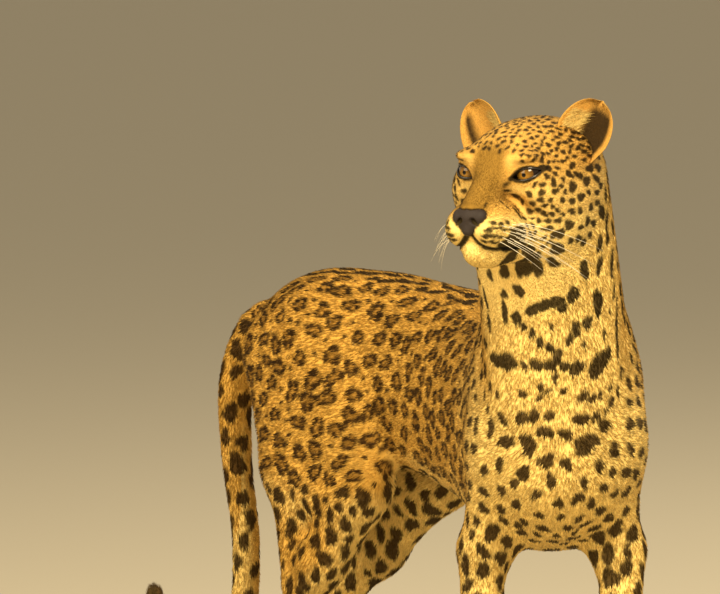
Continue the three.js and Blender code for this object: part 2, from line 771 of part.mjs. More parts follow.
// The nose leather fills the front of the muzzle, with a nostril on each side.
const noseDistance = (world) => {
  const [x, y, z] = transform(intoHead, world);
  const p = [x, Math.abs(y), z];
  const top = bar(p, [72, 0, -45], [73, 13, -46], 12, 9);
  const middle = bar(p, [76, 0, -50], [80, 0, -63], 9, 5);
  const wing = bar(p, [74, 12, -50], [78, 2, -62], 7, 4.5);
  return join(join(top, middle, 6), wing, 5);
};
const NOSE_MIDDLE = [72, 0, -52];
const NOSE_ROOM = 40;
const NOSTRIL = [
  [84, 8, -50],
  [70, 12, -52],
];
const MOUTH_LINE = [
  [84, 0, -72],
  [78, 9, -79],
  [69, 21, -86],
  [52, 34, -90],
  [32, 42, -90],
  [20, 45, -88],
];
const noseLow = onHead(NOSE_MIDDLE).map((v) => v - NOSE_ROOM);
const noseHigh = onHead(NOSE_MIDDLE).map((v) => v + NOSE_ROOM);
const noseMesh = surface(noseDistance, noseLow, noseHigh, NOSE_CELL);
let leather = solid(noseMesh);
skull = skull.subtract(solid(grown(noseMesh, GAP)));
for (const [, s] of SIDES) {
  leather = leather.subtract(rod(NOSTRIL.map(([x, y, z]) => onHead([x, y * s, z])), NOSTRIL_RADIUS));
  skull = skull.subtract(rod(MOUTH_LINE.map(([x, y, z]) => onFlesh(onHead([x, y * s, z]))), MOUTH_GROOVE));
}
addMesh("nose", leather, NOSE, 0.5);
addMesh("head", largest(skull));

// An ear: a cupped leaf, in a frame with x out of the cup, y across and z up.
const EAR_WIDEST = 0.35;
const EAR_FOOT_SHARE = 0.8;

function earForm(columns, rows) {
  const at = (u, v, back) => {
    const above = Math.max((v - EAR_WIDEST) / (1 - EAR_WIDEST), 0);
    const narrowing = Math.sqrt(Math.max(1 - above ** 2.2, 0));
    const widening = EAR_FOOT_SHARE + (1 - EAR_FOOT_SHARE) * Math.min(v / EAR_WIDEST, 1);
    const half = (EAR_WIDTH / 2) * widening * Math.max(narrowing, 0.06);
    const cup = EAR_CUP * (1 - 0.75 * v) * (1 - u * u);
    const thick = back ? EAR_WALL * (1.6 - v) * (1 - 0.6 * u * u) : 0;
    return [-cup - thick - v * EAR_CUP * 0.3, u * half, v * EAR_HEIGHT];
  };
  const points = [];
  const triangles = [];
  const row = columns + 1;
  for (const back of [false, true])
    for (let j = 0; j <= rows; j++)
      for (let i = 0; i <= columns; i++) points.push(at((i / columns) * 2 - 1, j / rows, back));
  const other = row * (rows + 1);
  const quad = (a, b, c, d) => triangles.push(a, b, c, a, c, d);
  for (let j = 0; j < rows; j++)
    for (let i = 0; i < columns; i++) {
      const a = j * row + i;
      quad(a, a + 1, a + row + 1, a + row);
      quad(other + a, other + a + row, other + a + row + 1, other + a + 1);
    }
  for (let i = 0; i < columns; i++) {
    const top = rows * row + i;
    quad(i, other + i, other + i + 1, i + 1);
    quad(top, top + 1, other + top + 1, other + top);
  }
  for (let j = 0; j < rows; j++) {
    const left = j * row;
    const right = left + columns;
    quad(left, left + row, other + left + row, other + left);
    quad(right, other + right, other + right + row, right + row);
  }
  return { points, triangles };
}

const headGrown = solid(grown(headMesh, GAP));
for (const [side, s] of SIDES) {
  const placed = headMatrix
    .clone()
    .multiply(new THREE.Matrix4().makeTranslation(EAR_FOOT[0], s * EAR_FOOT[1], EAR_FOOT[2]))
    .multiply(new THREE.Matrix4().makeRotationZ(s * EAR_TURN))
    .multiply(new THREE.Matrix4().makeRotationX(-s * EAR_SPLAY));
  const form = earForm(12, 10);
  form.points = form.points.map((p) => transform(placed.elements, p));
  addMesh("ear_" + side, largest(solid(form).subtract(headGrown)));
}

// The origin is on the floor, in the middle of the model's box.
const box = new THREE.Box3().setFromObject(group);
group.position.set(-(box.min.x + box.max.x) / 2, -(box.min.y + box.max.y) / 2, 0);

export default group;
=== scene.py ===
"""A leopard standing alert, life size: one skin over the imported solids, with a coat of short tufts."""

import itertools
import json
import math

import bpy
import numpy as np
from mathutils import Matrix, Vector

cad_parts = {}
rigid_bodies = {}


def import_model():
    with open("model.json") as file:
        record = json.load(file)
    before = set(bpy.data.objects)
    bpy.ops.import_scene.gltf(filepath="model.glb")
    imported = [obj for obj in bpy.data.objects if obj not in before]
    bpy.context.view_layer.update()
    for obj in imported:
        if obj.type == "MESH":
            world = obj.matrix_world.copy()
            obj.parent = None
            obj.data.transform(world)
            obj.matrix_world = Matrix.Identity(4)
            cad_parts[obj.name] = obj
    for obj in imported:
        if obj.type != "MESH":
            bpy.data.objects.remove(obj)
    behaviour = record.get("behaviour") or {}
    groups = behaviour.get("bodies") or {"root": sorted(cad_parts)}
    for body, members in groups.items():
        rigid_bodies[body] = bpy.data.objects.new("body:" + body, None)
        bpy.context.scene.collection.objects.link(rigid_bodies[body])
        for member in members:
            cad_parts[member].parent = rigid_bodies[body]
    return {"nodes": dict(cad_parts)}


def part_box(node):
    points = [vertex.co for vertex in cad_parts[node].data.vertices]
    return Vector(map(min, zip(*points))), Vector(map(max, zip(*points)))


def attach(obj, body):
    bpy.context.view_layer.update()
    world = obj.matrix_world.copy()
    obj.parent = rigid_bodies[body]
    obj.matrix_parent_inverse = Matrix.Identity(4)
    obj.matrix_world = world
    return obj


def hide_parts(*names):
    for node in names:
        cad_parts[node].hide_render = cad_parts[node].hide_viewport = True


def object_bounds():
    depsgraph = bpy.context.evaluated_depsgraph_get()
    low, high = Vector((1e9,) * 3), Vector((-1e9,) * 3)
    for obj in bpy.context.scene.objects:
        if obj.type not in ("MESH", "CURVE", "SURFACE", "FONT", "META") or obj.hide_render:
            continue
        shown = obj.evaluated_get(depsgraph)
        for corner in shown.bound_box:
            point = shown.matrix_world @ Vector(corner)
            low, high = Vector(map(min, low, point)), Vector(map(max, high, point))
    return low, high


for leftover in list(bpy.data.objects):
    bpy.data.objects.remove(leftover)
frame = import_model()
CAD_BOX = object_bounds()
rng = np.random.default_rng(7)

# About a full turn, in radians, for what is turned at random.
FULL_TURN = 6.28

# The photograph's view. The animal's own height of eye is the scale.
PHOTO_WIDTH = 720
PHOTO_HEIGHT = 594
MID_EYE_PIXEL = (500.5, 172.5)
PIXELS_PER_METRE = 845
VIEW_AZIMUTH = math.radians(62.8)
VIEW_ELEVATION = math.radians(5)
VIEW_DISTANCE = 12.0
SENSOR_MM = 36

# Sizes in millimetres, the same as in the solids. A place on the trunk is along, side and height.
BEND_FROM = 230
BEND_TO = 700
HIND_HEADING = math.radians(18)
CHEST_HEADING = math.radians(-25)
TRUNK_LENGTH = 860
EYE_HEIGHT = 831
HEAD_AHEAD_OF_CHEST = 125
HEAD_SIDE = -75
HEAD_HEADING = math.radians(-57.5)
HEAD_PITCH = math.radians(1)
EYE_RADIUS = 16
EYE_SPACING = 77
EYE_PLACE = np.array([0, EYE_SPACING / 2, 0])
EYE_TURN = math.radians(16)
EYE_SLANT = math.radians(16)
EAR_TURN = math.radians(12)
EAR_SPLAY = math.radians(30)
SIDES = {"left": 1, "right": -1}
STEPS = {"foreleg": {1: 26, -1: -18}, "hindleg": {1: -42, -1: 40}}

# Depth of the coat over the skin, and the size of the skin's facets.
BODY_COAT = 6.0
FACE_COAT = 2.2
BODY_CELL = 5.5
HEAD_CELL = 2.4


# Vector helpers. Places are rows of arrays.
def norm(v):
    return np.sqrt((v * v).sum(axis=-1))


def unit(v):
    return v / np.maximum(norm(v), 1e-9)[..., None]


def ramp(low, high, value):
    """From 0 to 1, smoothly, as a value goes from the low end to the high one."""
    t = np.clip((value - low) / (high - low), 0, 1)
    return t * t * (3 - 2 * t)


def blend(a, b, share):
    return a + (b - a) * share[:, None]


# The bent midline of the trunk.
def ahead(heading):
    return np.stack([np.cos(heading), np.sin(heading)], axis=-1)


def left_of(heading):
    return np.stack([-np.sin(heading), np.cos(heading)], axis=-1)


def flat_way(v):
    """Level directions, with a height of none."""
    return np.column_stack([v, np.zeros(len(v))])


BEND_RADIUS = (BEND_TO - BEND_FROM) / (HIND_HEADING - CHEST_HEADING)
ARC_CENTRE = -left_of(HIND_HEADING) * BEND_RADIUS
ARC_END = ARC_CENTRE + left_of(CHEST_HEADING) * BEND_RADIUS


def heading_at(along):
    on_arc = np.clip(along, BEND_FROM, BEND_TO)
    return HIND_HEADING - (on_arc - BEND_FROM) / BEND_RADIUS


def bend(place):
    place = np.asarray(place, float)
    along, side, height = place[..., 0], place[..., 1], place[..., 2]
    heading = heading_at(along)
    past = along - np.clip(along, BEND_FROM, BEND_TO)
    flat = ARC_CENTRE + left_of(heading) * (BEND_RADIUS + side)[..., None] + ahead(heading) * past[..., None]
    return np.concatenate([flat, height[..., None]], axis=-1)


def unbend(p):
    v = p[:, :2] - ARC_CENTRE
    heading = np.arctan2(-v[:, 0], v[:, 1])
    out = np.empty_like(p)
    out[:, 0] = BEND_FROM + (HIND_HEADING - heading) * BEND_RADIUS
    out[:, 1] = norm(v) - BEND_RADIUS
    out[:, 2] = p[:, 2]
    for mask, angle, start, along in (
        (heading > HIND_HEADING, HIND_HEADING, np.zeros(2), BEND_FROM),
        (heading < CHEST_HEADING, CHEST_HEADING, ARC_END, BEND_TO),
    ):
        d = p[mask, :2] - start
        out[mask, 0] = along + d @ ahead(angle)
        out[mask, 1] = d @ left_of(angle)
    return out


# The head's own frame: forward, left and up from the point between the eyes.
HEAD_MATRIX = (
    Matrix.Translation(Vector(bend([TRUNK_LENGTH + HEAD_AHEAD_OF_CHEST, HEAD_SIDE, EYE_HEIGHT])))
    @ Matrix.Rotation(HEAD_HEADING, 4, "Z")
    @ Matrix.Rotation(HEAD_PITCH, 4, "Y")
)
HEAD_TURN = np.array(HEAD_MATRIX.to_3x3())
HEAD_PLACE = np.array(HEAD_MATRIX.translation)


def on_head(place):
    return np.asarray(place, float) @ HEAD_TURN.T + HEAD_PLACE


def into_head(p):
    return (p - HEAD_PLACE) @ HEAD_TURN


def one_side(h):
    """Places on the head with those of its right half mirrored onto its left."""
    folded = h.copy()
    folded[:, 1] = np.abs(h[:, 1])
    return folded


# From these millimetres to the frame's metres, found from where the solids have an eye.
low, high = (np.array(corner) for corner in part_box("eye_left"))
SHIFT = (low + high) / 2 - on_head([0, EYE_SPACING / 2, 0]) / 1000


def to_frame(p):
    return np.asarray(p) / 1000 + SHIFT


# Signed distances of the plain forms and the soft joints between them.
def ball(p, centre, radii):
    q = p - np.asarray(centre, float)
    radii = np.asarray(radii, float)
    scaled = norm(q / radii)
    return scaled * (scaled - 1) / np.maximum(norm(q / radii**2), 1e-9)


def bar(p, start, end, start_radius, end_radius, flat=1.0):
    axis = np.asarray(end, float) - start
    off = p - start
    t = np.clip(off @ axis / (axis @ axis), 0, 1)
    away = off - t[:, None] * axis
    away[:, 1] /= flat
    return norm(away) - (start_radius + (end_radius - start_radius) * t)


def join(a, b, softness):
    h = np.maximum(softness - np.abs(a - b), 0) / softness
    return np.minimum(a, b) - h * h * softness / 4


def join_all(softness, first, *others):
    for other in others:
        first = join(first, other, softness)
    return first


def carve(a, b, softness):
    return -join(-a, b, softness)


def profile(rows, at):
    rows = np.asarray(rows, float)
    places = rows[:, 0]
    at = np.clip(at, places[0], places[-1])
    i = np.clip(np.searchsorted(places, at, side="right") - 1, 0, len(rows) - 2)
    r0, r1 = rows[np.maximum(i - 1, 0)], rows[i]
    r2, r3 = rows[i + 1], rows[np.minimum(i + 2, len(rows) - 1)]
    t = ((at - r1[:, 0]) / (r2[:, 0] - r1[:, 0]))[:, None]
    a, b, c, d = (r[:, 1:] for r in (r0, r1, r2, r3))
    return b + 0.5 * t * (c - a + t * (2 * a - 5 * b + 4 * c - d + t * (3 * (b - c) + d - a)))


# The barrel of the body: back line, belly line and half width at places along it.
BARREL = [
    (30, 590, 500, 66),
    (110, 640, 462, 90),
    (200, 656, 424, 97),
    (310, 647, 398, 96),
    (430, 640, 376, 108),
    (550, 640, 356, 118),
    (660, 647, 344, 114),
    (750, 658, 350, 102),
    (830, 640, 384, 86),
]
BARREL_FROM = 40
BARREL_TO = 815
BARREL_SQUARENESS = 2.3
WIDEST_AT = 0.52


def barrel(p):
    back, belly, half = profile(BARREL, p[:, 0]).T
    middle = belly + (back - belly) * WIDEST_AT
    up = p[:, 2] - middle
    tall = np.where(up > 0, back - middle, middle - belly)
    power = BARREL_SQUARENESS
    share = (np.abs(p[:, 1] / half) ** power + np.abs(up / tall) ** power) ** (1 / power)
    out = np.hypot(p[:, 1], up)
    across = np.where(share < 1e-6, -half, out - out / np.maximum(share, 1e-6))
    lengthwise = np.maximum(BARREL_FROM - p[:, 0], p[:, 0] - BARREL_TO)
    return -join(-across, -lengthwise, 60)


def foreleg(p, side, step):
    q = p * np.array([1, side, 1])
    shoulder = join_all(
        34,
        bar(q, [738, 50, 612], [812, 66, 486], 46, 48, 0.72),
        bar(q, [812, 68, 484], [754, 76, 362], 46, 38, 0.85),
        bar(q, [718, 58, 540], [738, 76, 372], 48, 36, 0.75),
    )
    wrist = [764 + step * 0.8, 80, 142]
    lower = join_all(
        18,
        bar(q, [744 + step * 0.25, 84, 350], [754 + step * 0.5, 83, 250], 37, 31, 0.9),
        bar(q, [752 + step * 0.5, 83, 262], wrist, 32, 23, 0.95),
        bar(q, wrist, [780 + step, 80, 40], 24, 25),
    )
    return join(join(shoulder, lower, 24), paw(q, [796 + step, 80, 0], 1), 10)


def hindleg(p, side, step):
    q = p * np.array([1, side, 1])
    thigh = join_all(
        40,
        bar(q, [158, 52, 556], [238, 76, 400], 78, 50, 0.72),
        bar(q, [62, 40, 536], [112, 66, 408], 52, 48, 0.8),
        bar(q, [150, 60, 470], [180, 72, 400], 70, 58, 0.72),
    )
    hock = [70 + step * 0.9, 74, 196]
    shin = join_all(
        26,
        bar(q, [238 + step * 0.3, 78, 392], [150 + step * 0.6, 78, 286], 46, 33, 0.85),
        bar(q, [154 + step * 0.6, 78, 292], hock, 34, 22, 0.85),
        bar(q, [100 + step * 0.5, 70, 400], [88 + step * 0.8, 75, 262], 40, 20, 0.8),
    )
    heel = bar(q, [56 + step * 0.9, 74, 206], [72 + step * 0.9, 74, 184], 15, 17)
    foot = join(bar(q, hock, [104 + step, 76, 52], 23, 22), heel, 14)
    leg = join(join(thigh, shin, 36), foot, 14)
    return join(leg, paw(q, [124 + step, 77, 0], 0.92), 10)


TOES = [(24, -27, 0.92), (39, -10, 1.02), (39, 9, 1), (25, 25, 0.9)]


def paw(q, at, size):
    p = (q - np.asarray(at, float)) / size
    body = join(ball(p, [0, 0, 34], [38, 34, 25]), ball(p, [-8, 0, 16], [26, 30, 19]), 12)
    toes = np.full(len(p), np.inf)
    for forward, left, scale in TOES:
        radii = [25 * scale, 12.5 * scale, 18.5 * scale]
        toes = np.minimum(toes, ball(p, [forward, left, 17 * scale], radii))
    return join(body, toes, 9) * size


NECK_TOP = on_head([-98, 11, -8])
NECK_THROAT = on_head([-62, 0, -66])


def neck(p):
    return join_all(
        44,
        bar(p, bend([752, 11, 566]), NECK_TOP, 92, 70),
        bar(p, bend([826, 6, 520]), on_head([-78, 6, -40]), 88, 72),
        bar(p, bend([842, 3, 470]), NECK_THROAT, 72, 50),
    )


TAIL_KNOTS = [
    (44, 0, 584),
    (-18, 0, 566),
    (-58, 2, 496),
    (-64, 8, 396),
    (-58, 18, 290),
    (-78, 32, 190),
    (-128, 48, 122),
    (-196, 64, 106),
    (-262, 78, 140),
    (-296, 86, 196),
]
TAIL_RADII = [(0, 34), (0.12, 29), (0.4, 23), (0.85, 21.5), (1, 16)]
TAIL_STEPS = 36


def tail_places():
    knots = bend(TAIL_KNOTS)
    table = np.column_stack([np.arange(len(knots)), knots])
    fine = profile(table, np.linspace(0, len(knots) - 1, 600))
    run = np.concatenate([[0], np.cumsum(norm(np.diff(fine, axis=0)))])
    even = np.linspace(0, run[-1], TAIL_STEPS + 1)
    return np.column_stack([np.interp(even, run, fine[:, k]) for k in range(3)])


TAIL = tail_places()
TAIL_R = profile(TAIL_RADII, np.linspace(0, 1, TAIL_STEPS + 1))[:, 0]


def tail(p):
    nearest = np.full(len(p), np.inf)
    for i in range(TAIL_STEPS):
        nearest = np.minimum(nearest, bar(p, TAIL[i], TAIL[i + 1], TAIL_R[i], TAIL_R[i + 1]))
    return nearest


def head(world):
    p = one_side(into_head(world))
    skull = join_all(
        22,
        ball(p, [-60, 0, 3], [84, 62, 58]),
        ball(p, [-10, 0, 8], [40, 48, 30]),
        ball(p, [-36, 46, -22], [48, 33, 36]),
        ball(p, [-54, 48, -56], [46, 32, 42]),
        ball(p, [-50, 0, -66], [64, 58, 40]),
    )
    muzzle = join_all(
        12,
        bar(p, [6, 0, 2], [66, 0, -42], 24, 18),
        ball(p, [32, 0, -56], [46, 42, 32]),
        ball(p, [51, 19.5, -62], [32, 22.5, 25]),
        ball(p, [18, 35, -70], [36, 16, 18]),
    )
    jaw = join(ball(p, [46, 0, -91], [28, 22, 19]), bar(p, [36, 10, -91], [-50, 42, -80], 18, 26), 12)
    brow = ball(p, [6, 34, 20], [22, 22, 10])
    return join_all(12, skull, muzzle, jaw, brow)


def flesh(p):
    q = unbend(p)
    chest = ball(q, [796, 0, 486], [76, 86, 116])
    rump = ball(q, [112, 0, 556], [108, 88, 92])
    body = join_all(40, barrel(q), chest, rump)
    fore = [foreleg(q, side, step) for side, step in STEPS["foreleg"].items()]
    hind = [hindleg(q, side, step) for side, step in STEPS["hindleg"].items()]
    limbs = np.minimum(join(*fore, 10), join(*hind, 10))
    trunk = join(body, limbs, 34)
    return join(join(join(trunk, neck(p), 50), head(p), 16), tail(p), 18)


# How deep the coat is over the skin at a place.
def coat_depth(p):
    h = into_head(p)
    face = ramp(-150, -40, h[:, 0]) * ramp(190, 120, norm(h))
    low = ramp(160, 60, p[:, 2])
    return BODY_COAT + (FACE_COAT - BODY_COAT) * np.maximum(face, low)


# The lids: the width of the almond opening between them and its reach up and down, their outer face and
# the socket's wall past the eyeball, and the socket's depth.
ALMOND_WIDTH = 37
ALMOND_UP = 7.6
ALMOND_DOWN = 6.0
LID_PAST_EYE = 2.0
SOCKET_PAST_EYE = 0.4
SOCKET_DEPTH = 12
EYE_AXES = np.array(Matrix.Rotation(EYE_TURN, 3, "Z") @ Matrix.Rotation(EYE_SLANT, 3, "X"))


def lids(p):
    """How far a place is outside the lids over both eyes, their opening and the sockets."""
    e = one_side(into_head(p)) - EYE_PLACE
    return norm(e) - (EYE_RADIUS + LID_PAST_EYE), almond_distance(e), norm(e) - (EYE_RADIUS + SOCKET_PAST_EYE)


def almond_distance(e):
    """About how far outside the lids' opening a place is, seen along the eye's own axis."""
    q = e @ EYE_AXES
    across = q[:, 1] / (ALMOND_WIDTH / 2)
    lid = np.where(q[:, 2] > 0, ALMOND_UP, ALMOND_DOWN)
    edge = lid * np.clip(1 - across**2, 0, 1)
    inside = np.abs(q[:, 2]) - edge
    past = np.hypot(np.abs(q[:, 1]) - ALMOND_WIDTH / 2, q[:, 2])
    inside = np.where(np.abs(across) < 1, inside, past)
    return np.where(q[:, 0] > 0, inside, 50)


MOUTH = [(84, 0, -72), (78, 9, -79), (69, 21, -86), (52, 34, -90), (32, 42, -90), (20, 45, -88)]


def plain_skin(p):
    return flesh(p) + coat_depth(p)


def on_skin(places):
    """The places on the skin nearest to some places on the head."""
    p = on_head(places)
    for _ in range(4):
        d, slope = steepness(plain_skin, p)
        p = p - (d / (slope**2).sum(axis=1))[:, None] * slope
    return into_head(p)


def mouth_distance(p):
    h = one_side(into_head(p))
    return np.minimum.reduce([bar(h, a, b, 1.3, 1.3) for a, b in zip(MOUTH_PLACES, MOUTH_PLACES[1:])])


# The nose leather, with its nostrils.
def nose_distance(world):
    p = one_side(into_head(world))
    leather = join(bar(p, [72, 0, -45], [73, 13, -46], 12, 9), bar(p, [76, 0, -50], [80, 0, -63], 9, 5), 6)
    leather = join(leather, bar(p, [74, 12, -50], [78, 2, -62], 7, 4.5), 5)
    nostril = bar(p, [84, 8, -50], [76, 11, -52], 3.4, 3.0)
    nostril = join(nostril, bar(p, [80, 11, -53], [72, 17, -52], 2.2, 1.2), 2)
    groove = bar(p, [88, 0, -46], [86, 0, -70], 1.0, 1.0)
    return carve(carve(leather, nostril, 1.5), groove, 1.0)


def skin_distance(p):
    d = plain_skin(p)
    near = norm(into_head(p)) < 150
    if near.any():
        q = p[near]
        shell, opening, globe = lids(q)
        lidded = carve(join(d[near], shell, 6), mouth_distance(q), 2.0)
        hole = np.maximum(opening, globe - SOCKET_DEPTH)
        d[near] = np.maximum.reduce([lidded, -hole, -globe])
    return d


def steepness(distance, p, probe=0.4):
    d = distance(p)
    slope = np.empty_like(p)
    for m in range(3):
        q = p.copy()
        q[:, m] += probe
        slope[:, m] = (distance(q) - d) / probe
    return d, slope


MOUTH_PLACES = on_skin(MOUTH)


# A mesh of where a distance is zero, on a grid whose lines may be spaced unevenly. It is worked out first
# for blocks of the grid, and then in full for those that may hold the surface, a batch at a time.
BLOCK = 4
BATCH = 2500
STEP_GROWTH = 1.15
GRID_MARGIN = 30


def surface(distance, lines, settle_rounds=3):
    counts = [len(axis) // BLOCK * BLOCK for axis in lines]
    xs, ys, zs = (np.asarray(axis)[:n] for axis, n in zip(lines, counts))
    starts = [axis.reshape(-1, BLOCK) for axis in (xs, ys, zs)]
    centres = [s.mean(axis=1) for s in starts]
    reach = [s[:, -1] - s[:, 0] for s in starts]
    grid = np.stack(np.meshgrid(*centres, indexing="ij"), axis=-1).reshape(-1, 3)
    spans = np.stack(np.meshgrid(*reach, indexing="ij"), axis=-1).reshape(-1, 3)
    rough = distance(grid)
    near = np.abs(rough) < norm(spans) * 0.75 + spans.max(axis=1) * 0.6
    shape = tuple(len(c) for c in centres)
    values = np.repeat(np.repeat(np.repeat(rough.reshape(shape), BLOCK, 0), BLOCK, 1), BLOCK, 2)
    blocks = np.argwhere(near.reshape(shape))
    inner = np.stack(np.meshgrid(*[np.arange(BLOCK)] * 3, indexing="ij"), axis=-1).reshape(-1, 3)
    for part in np.array_split(blocks, max(1, len(blocks) // BATCH)):
        index = (part[:, None, :] * BLOCK + inner[None]).reshape(-1, 3)
        places = np.stack([xs[index[:, 0]], ys[index[:, 1]], zs[index[:, 2]]], axis=-1)
        values[index[:, 0], index[:, 1], index[:, 2]] = distance(places)
    return mesh_of(values, (xs, ys, zs), distance, settle_rounds)


def sums_at(index, rows, count):
    """The rows of an array, summed by the place that each belongs to."""
    return np.column_stack([np.bincount(index, column, count) for column in rows.T])


def mesh_of(values, lines, distance, settle_rounds):
    """Faces round each step of the grid that crosses the surface, with their points evened out on it."""
    inside = values < 0
    strides = np.array([values.shape[1] * values.shape[2], values.shape[2], 1])
    quads, places = [], []
    for axis in range(3):
        others = np.array([int(k != axis) for k in range(3)])
        near_side = tuple(slice(k, -1) for k in others)
        far_side = tuple(slice(1, -1 if k else None) for k in others)
        crossing = np.argwhere(inside[near_side] != inside[far_side]) + others
        beyond = crossing + 1 - others
        a, b = values[tuple(crossing.T)], values[tuple(beyond.T)]
        place = np.stack([lines[k][crossing[:, k]] for k in range(3)], axis=-1)
        place[:, axis] += a / (a - b) * (lines[axis][beyond[:, axis]] - place[:, axis])
        base = crossing @ strides
        u, w = strides[(axis + 1) % 3], strides[(axis + 2) % 3]
        ring = np.stack([base - u - w, base - w, base, base - u], axis=-1)
        quads.append(np.where((a < 0)[:, None], ring, ring[:, ::-1]))
        places.append(place)
    cells, faces = np.unique(np.concatenate(quads), return_inverse=True)
    faces = faces.reshape(-1, 4)
    corners = np.repeat(np.concatenate(places), 4, axis=0)
    points = sums_at(faces.ravel(), corners, len(cells)) / np.bincount(faces.ravel())[:, None]
    ends = np.concatenate([faces, faces[:, ::-1]])
    pairs = np.concatenate([ends[:, [k, (k + 1) % 4]] for k in range(4)])
    degree = np.bincount(pairs[:, 0])[:, None]
    for _ in range(settle_rounds):
        mean = sums_at(pairs[:, 0], points[pairs[:, 1]], len(points)) / degree
        even = points + 0.5 * (mean - points)
        d, slope = steepness(distance, even)
        step = np.clip(d, -3, 3) / np.maximum((slope**2).sum(axis=1), 0.25)
        points = even - step[:, None] * slope
    return points, faces


def spaced(start, stop, fine_from, fine_to, fine, coarse):
    """Grid lines that are close together in one stretch and widen out from it both ways."""
    lines = list(np.arange(fine_from, fine_to, fine))
    for end in (stop, -start):
        step = fine
        while lines[-1] < end:
            step = min(step * STEP_GROWTH, coarse)
            lines.append(lines[-1] + step)
        lines = [-line for line in reversed(lines)]
    return np.array(lines)


def skin_lines():
    scale = 1
    low, high = (np.array(c) for c in CAD_BOX)
    low = (low - SHIFT) * 1000 - GRID_MARGIN
    high = (high - SHIFT) * 1000 + GRID_MARGIN
    corners = on_head([[-70, -80, -105], [92, 80, 50], [-70, 80, 50], [92, -80, -105]])
    near, far = corners.min(axis=0), corners.max(axis=0)
    cells = (HEAD_CELL * scale, BODY_CELL * scale)
    return [spaced(*ends, *cells) for ends in zip(low, high, near, far)]


# Colours as in the photograph, given as they look and turned into linear light.
def tone(red, green, blue):
    c = np.array([red, green, blue]) / 255
    return np.where(c <= 0.04045, c / 12.92, ((c + 0.055) / 1.055) ** 2.4)


GOLD = tone(208, 162, 74)
DEEP_GOLD = tone(176, 126, 48)
CREAM = tone(238, 206, 124)
FACE_TAN = tone(206, 160, 78)
BRIDGE_TAN = tone(124, 92, 32)
INK = tone(26, 15, 5)
BROWN_INK = tone(54, 33, 10)
BLACK = tone(12, 8, 4)


# Smooth noise: how many sine waves it adds, how fast they turn, and about the highest that they reach.
NOISE_WAVES = 7
NOISE_PACE = 2.2
NOISE_PEAK = 3.7


def smooth_noise(p, scale, seed=0):
    """Smooth noise between about -1 and 1 at a scale in millimetres."""
    q = p / scale
    total = np.zeros(len(p))
    turn = np.random.default_rng(seed)
    for _ in range(NOISE_WAVES):
        wave = turn.normal(size=3)
        total += np.sin(q @ wave * NOISE_PACE + turn.uniform(0, FULL_TURN))
    return total / NOISE_PEAK


# Where the regions are. Each is a weight from 0 to 1 at a place.
def head_weight(h):
    return ramp(-122, -78, h[:, 0] + 0.3 * h[:, 2]) * ramp(215, 175, norm(h))


def tail_weight(p, q):
    return ((q[:, 0] < -4) & (tail(p) < 14)).astype(float)


def leg_weight(q):
    top = np.where(q[:, 0] > 500, 395, 380)
    return ramp(top + 40, top - 40, q[:, 2]) * (np.abs(q[:, 1]) > 24)


def neck_weight(p, q, on_the_head):
    up = (p - bend([806, 0, 590])) @ unit(bend([840, 0, 640]) - bend([800, 0, 580]))
    return ramp(-30, 60, up) * (1 - on_the_head) * (q[:, 0] > 600)


def pale_weight(p, normal):
    """Where the coat is cream: the underside, throat, chest, inner legs, muzzle and chin."""
    h, q = into_head(p), unbend(p)
    on_the_head = head_weight(h)
    front = normal @ np.append(ahead(CHEST_HEADING), 0)
    wobble = 22 * smooth_noise(p, 90, 3)
    neck_front = ramp(-0.25, 0.55, front + 0.004 * wobble) * ramp(600, 720, q[:, 0])
    belly = ramp(455, 385, q[:, 2] + wobble) * ramp(0.05, -0.6, normal[:, 2])
    outward = flat_way(left_of(heading_at(q[:, 0]))) * np.sign(q[:, 1:2])
    inner = 0.9 * ramp(470, 400, q[:, 2]) * ramp(0.15, -0.6, (normal * outward).sum(axis=1))
    lower_leg = 0.45 * ramp(330, 120, q[:, 2]) * (q[:, 0] < 900)
    low = ramp(-30, -64, h[:, 2] + 0.10 * h[:, 0])
    cheeks = 0.55 * ramp(12, -30, h[:, 2]) * ramp(34, 52, np.abs(h[:, 1]))
    muzzle = ramp(34, 52, h[:, 0] + 0.8 * np.abs(h[:, 1])) * ramp(-40, -54, h[:, 2])
    face = np.maximum.reduce([low, cheeks, muzzle, eye_patches(one_side(h))])
    body = np.maximum.reduce([neck_front, belly, inner, lower_leg])
    return np.clip(body * (1 - on_the_head) + face * on_the_head, 0, 1)


def eye_patches(m):
    """The pale patches above the inner end of each eye and below it."""
    below = ramp(1.2, 0.2, norm((m - [8, 36, -17]) / [26, 26, 9]))
    above = ramp(1.2, 0.2, norm((m - [14, 30, 16]) / [26, 17, 9]))
    return np.maximum(0.7 * below, 0.4 * above)


def base_colour(p, normal):
    """The coat's ground colour: gold, deeper on the back, tan on the face and cream where it is pale."""
    h, q = into_head(p), unbend(p)
    on_the_head = head_weight(h)
    gold = blend(GOLD, DEEP_GOLD, 0.5 * ramp(520, 660, q[:, 2]))
    gold = blend(gold, FACE_TAN, on_the_head * 0.85)
    colour = blend(gold, CREAM, pale_weight(p, normal))
    bridge = ramp(30, 14, np.abs(h[:, 1])) * ramp(0, 26, h[:, 0]) * ramp(-58, -46, h[:, 2])
    colour = blend(colour, BRIDGE_TAN, 0.9 * bridge * on_the_head)
    return colour * (1 + 0.07 * smooth_noise(p, 45, 1) + 0.06 * smooth_noise(p, 12, 2))[:, None]


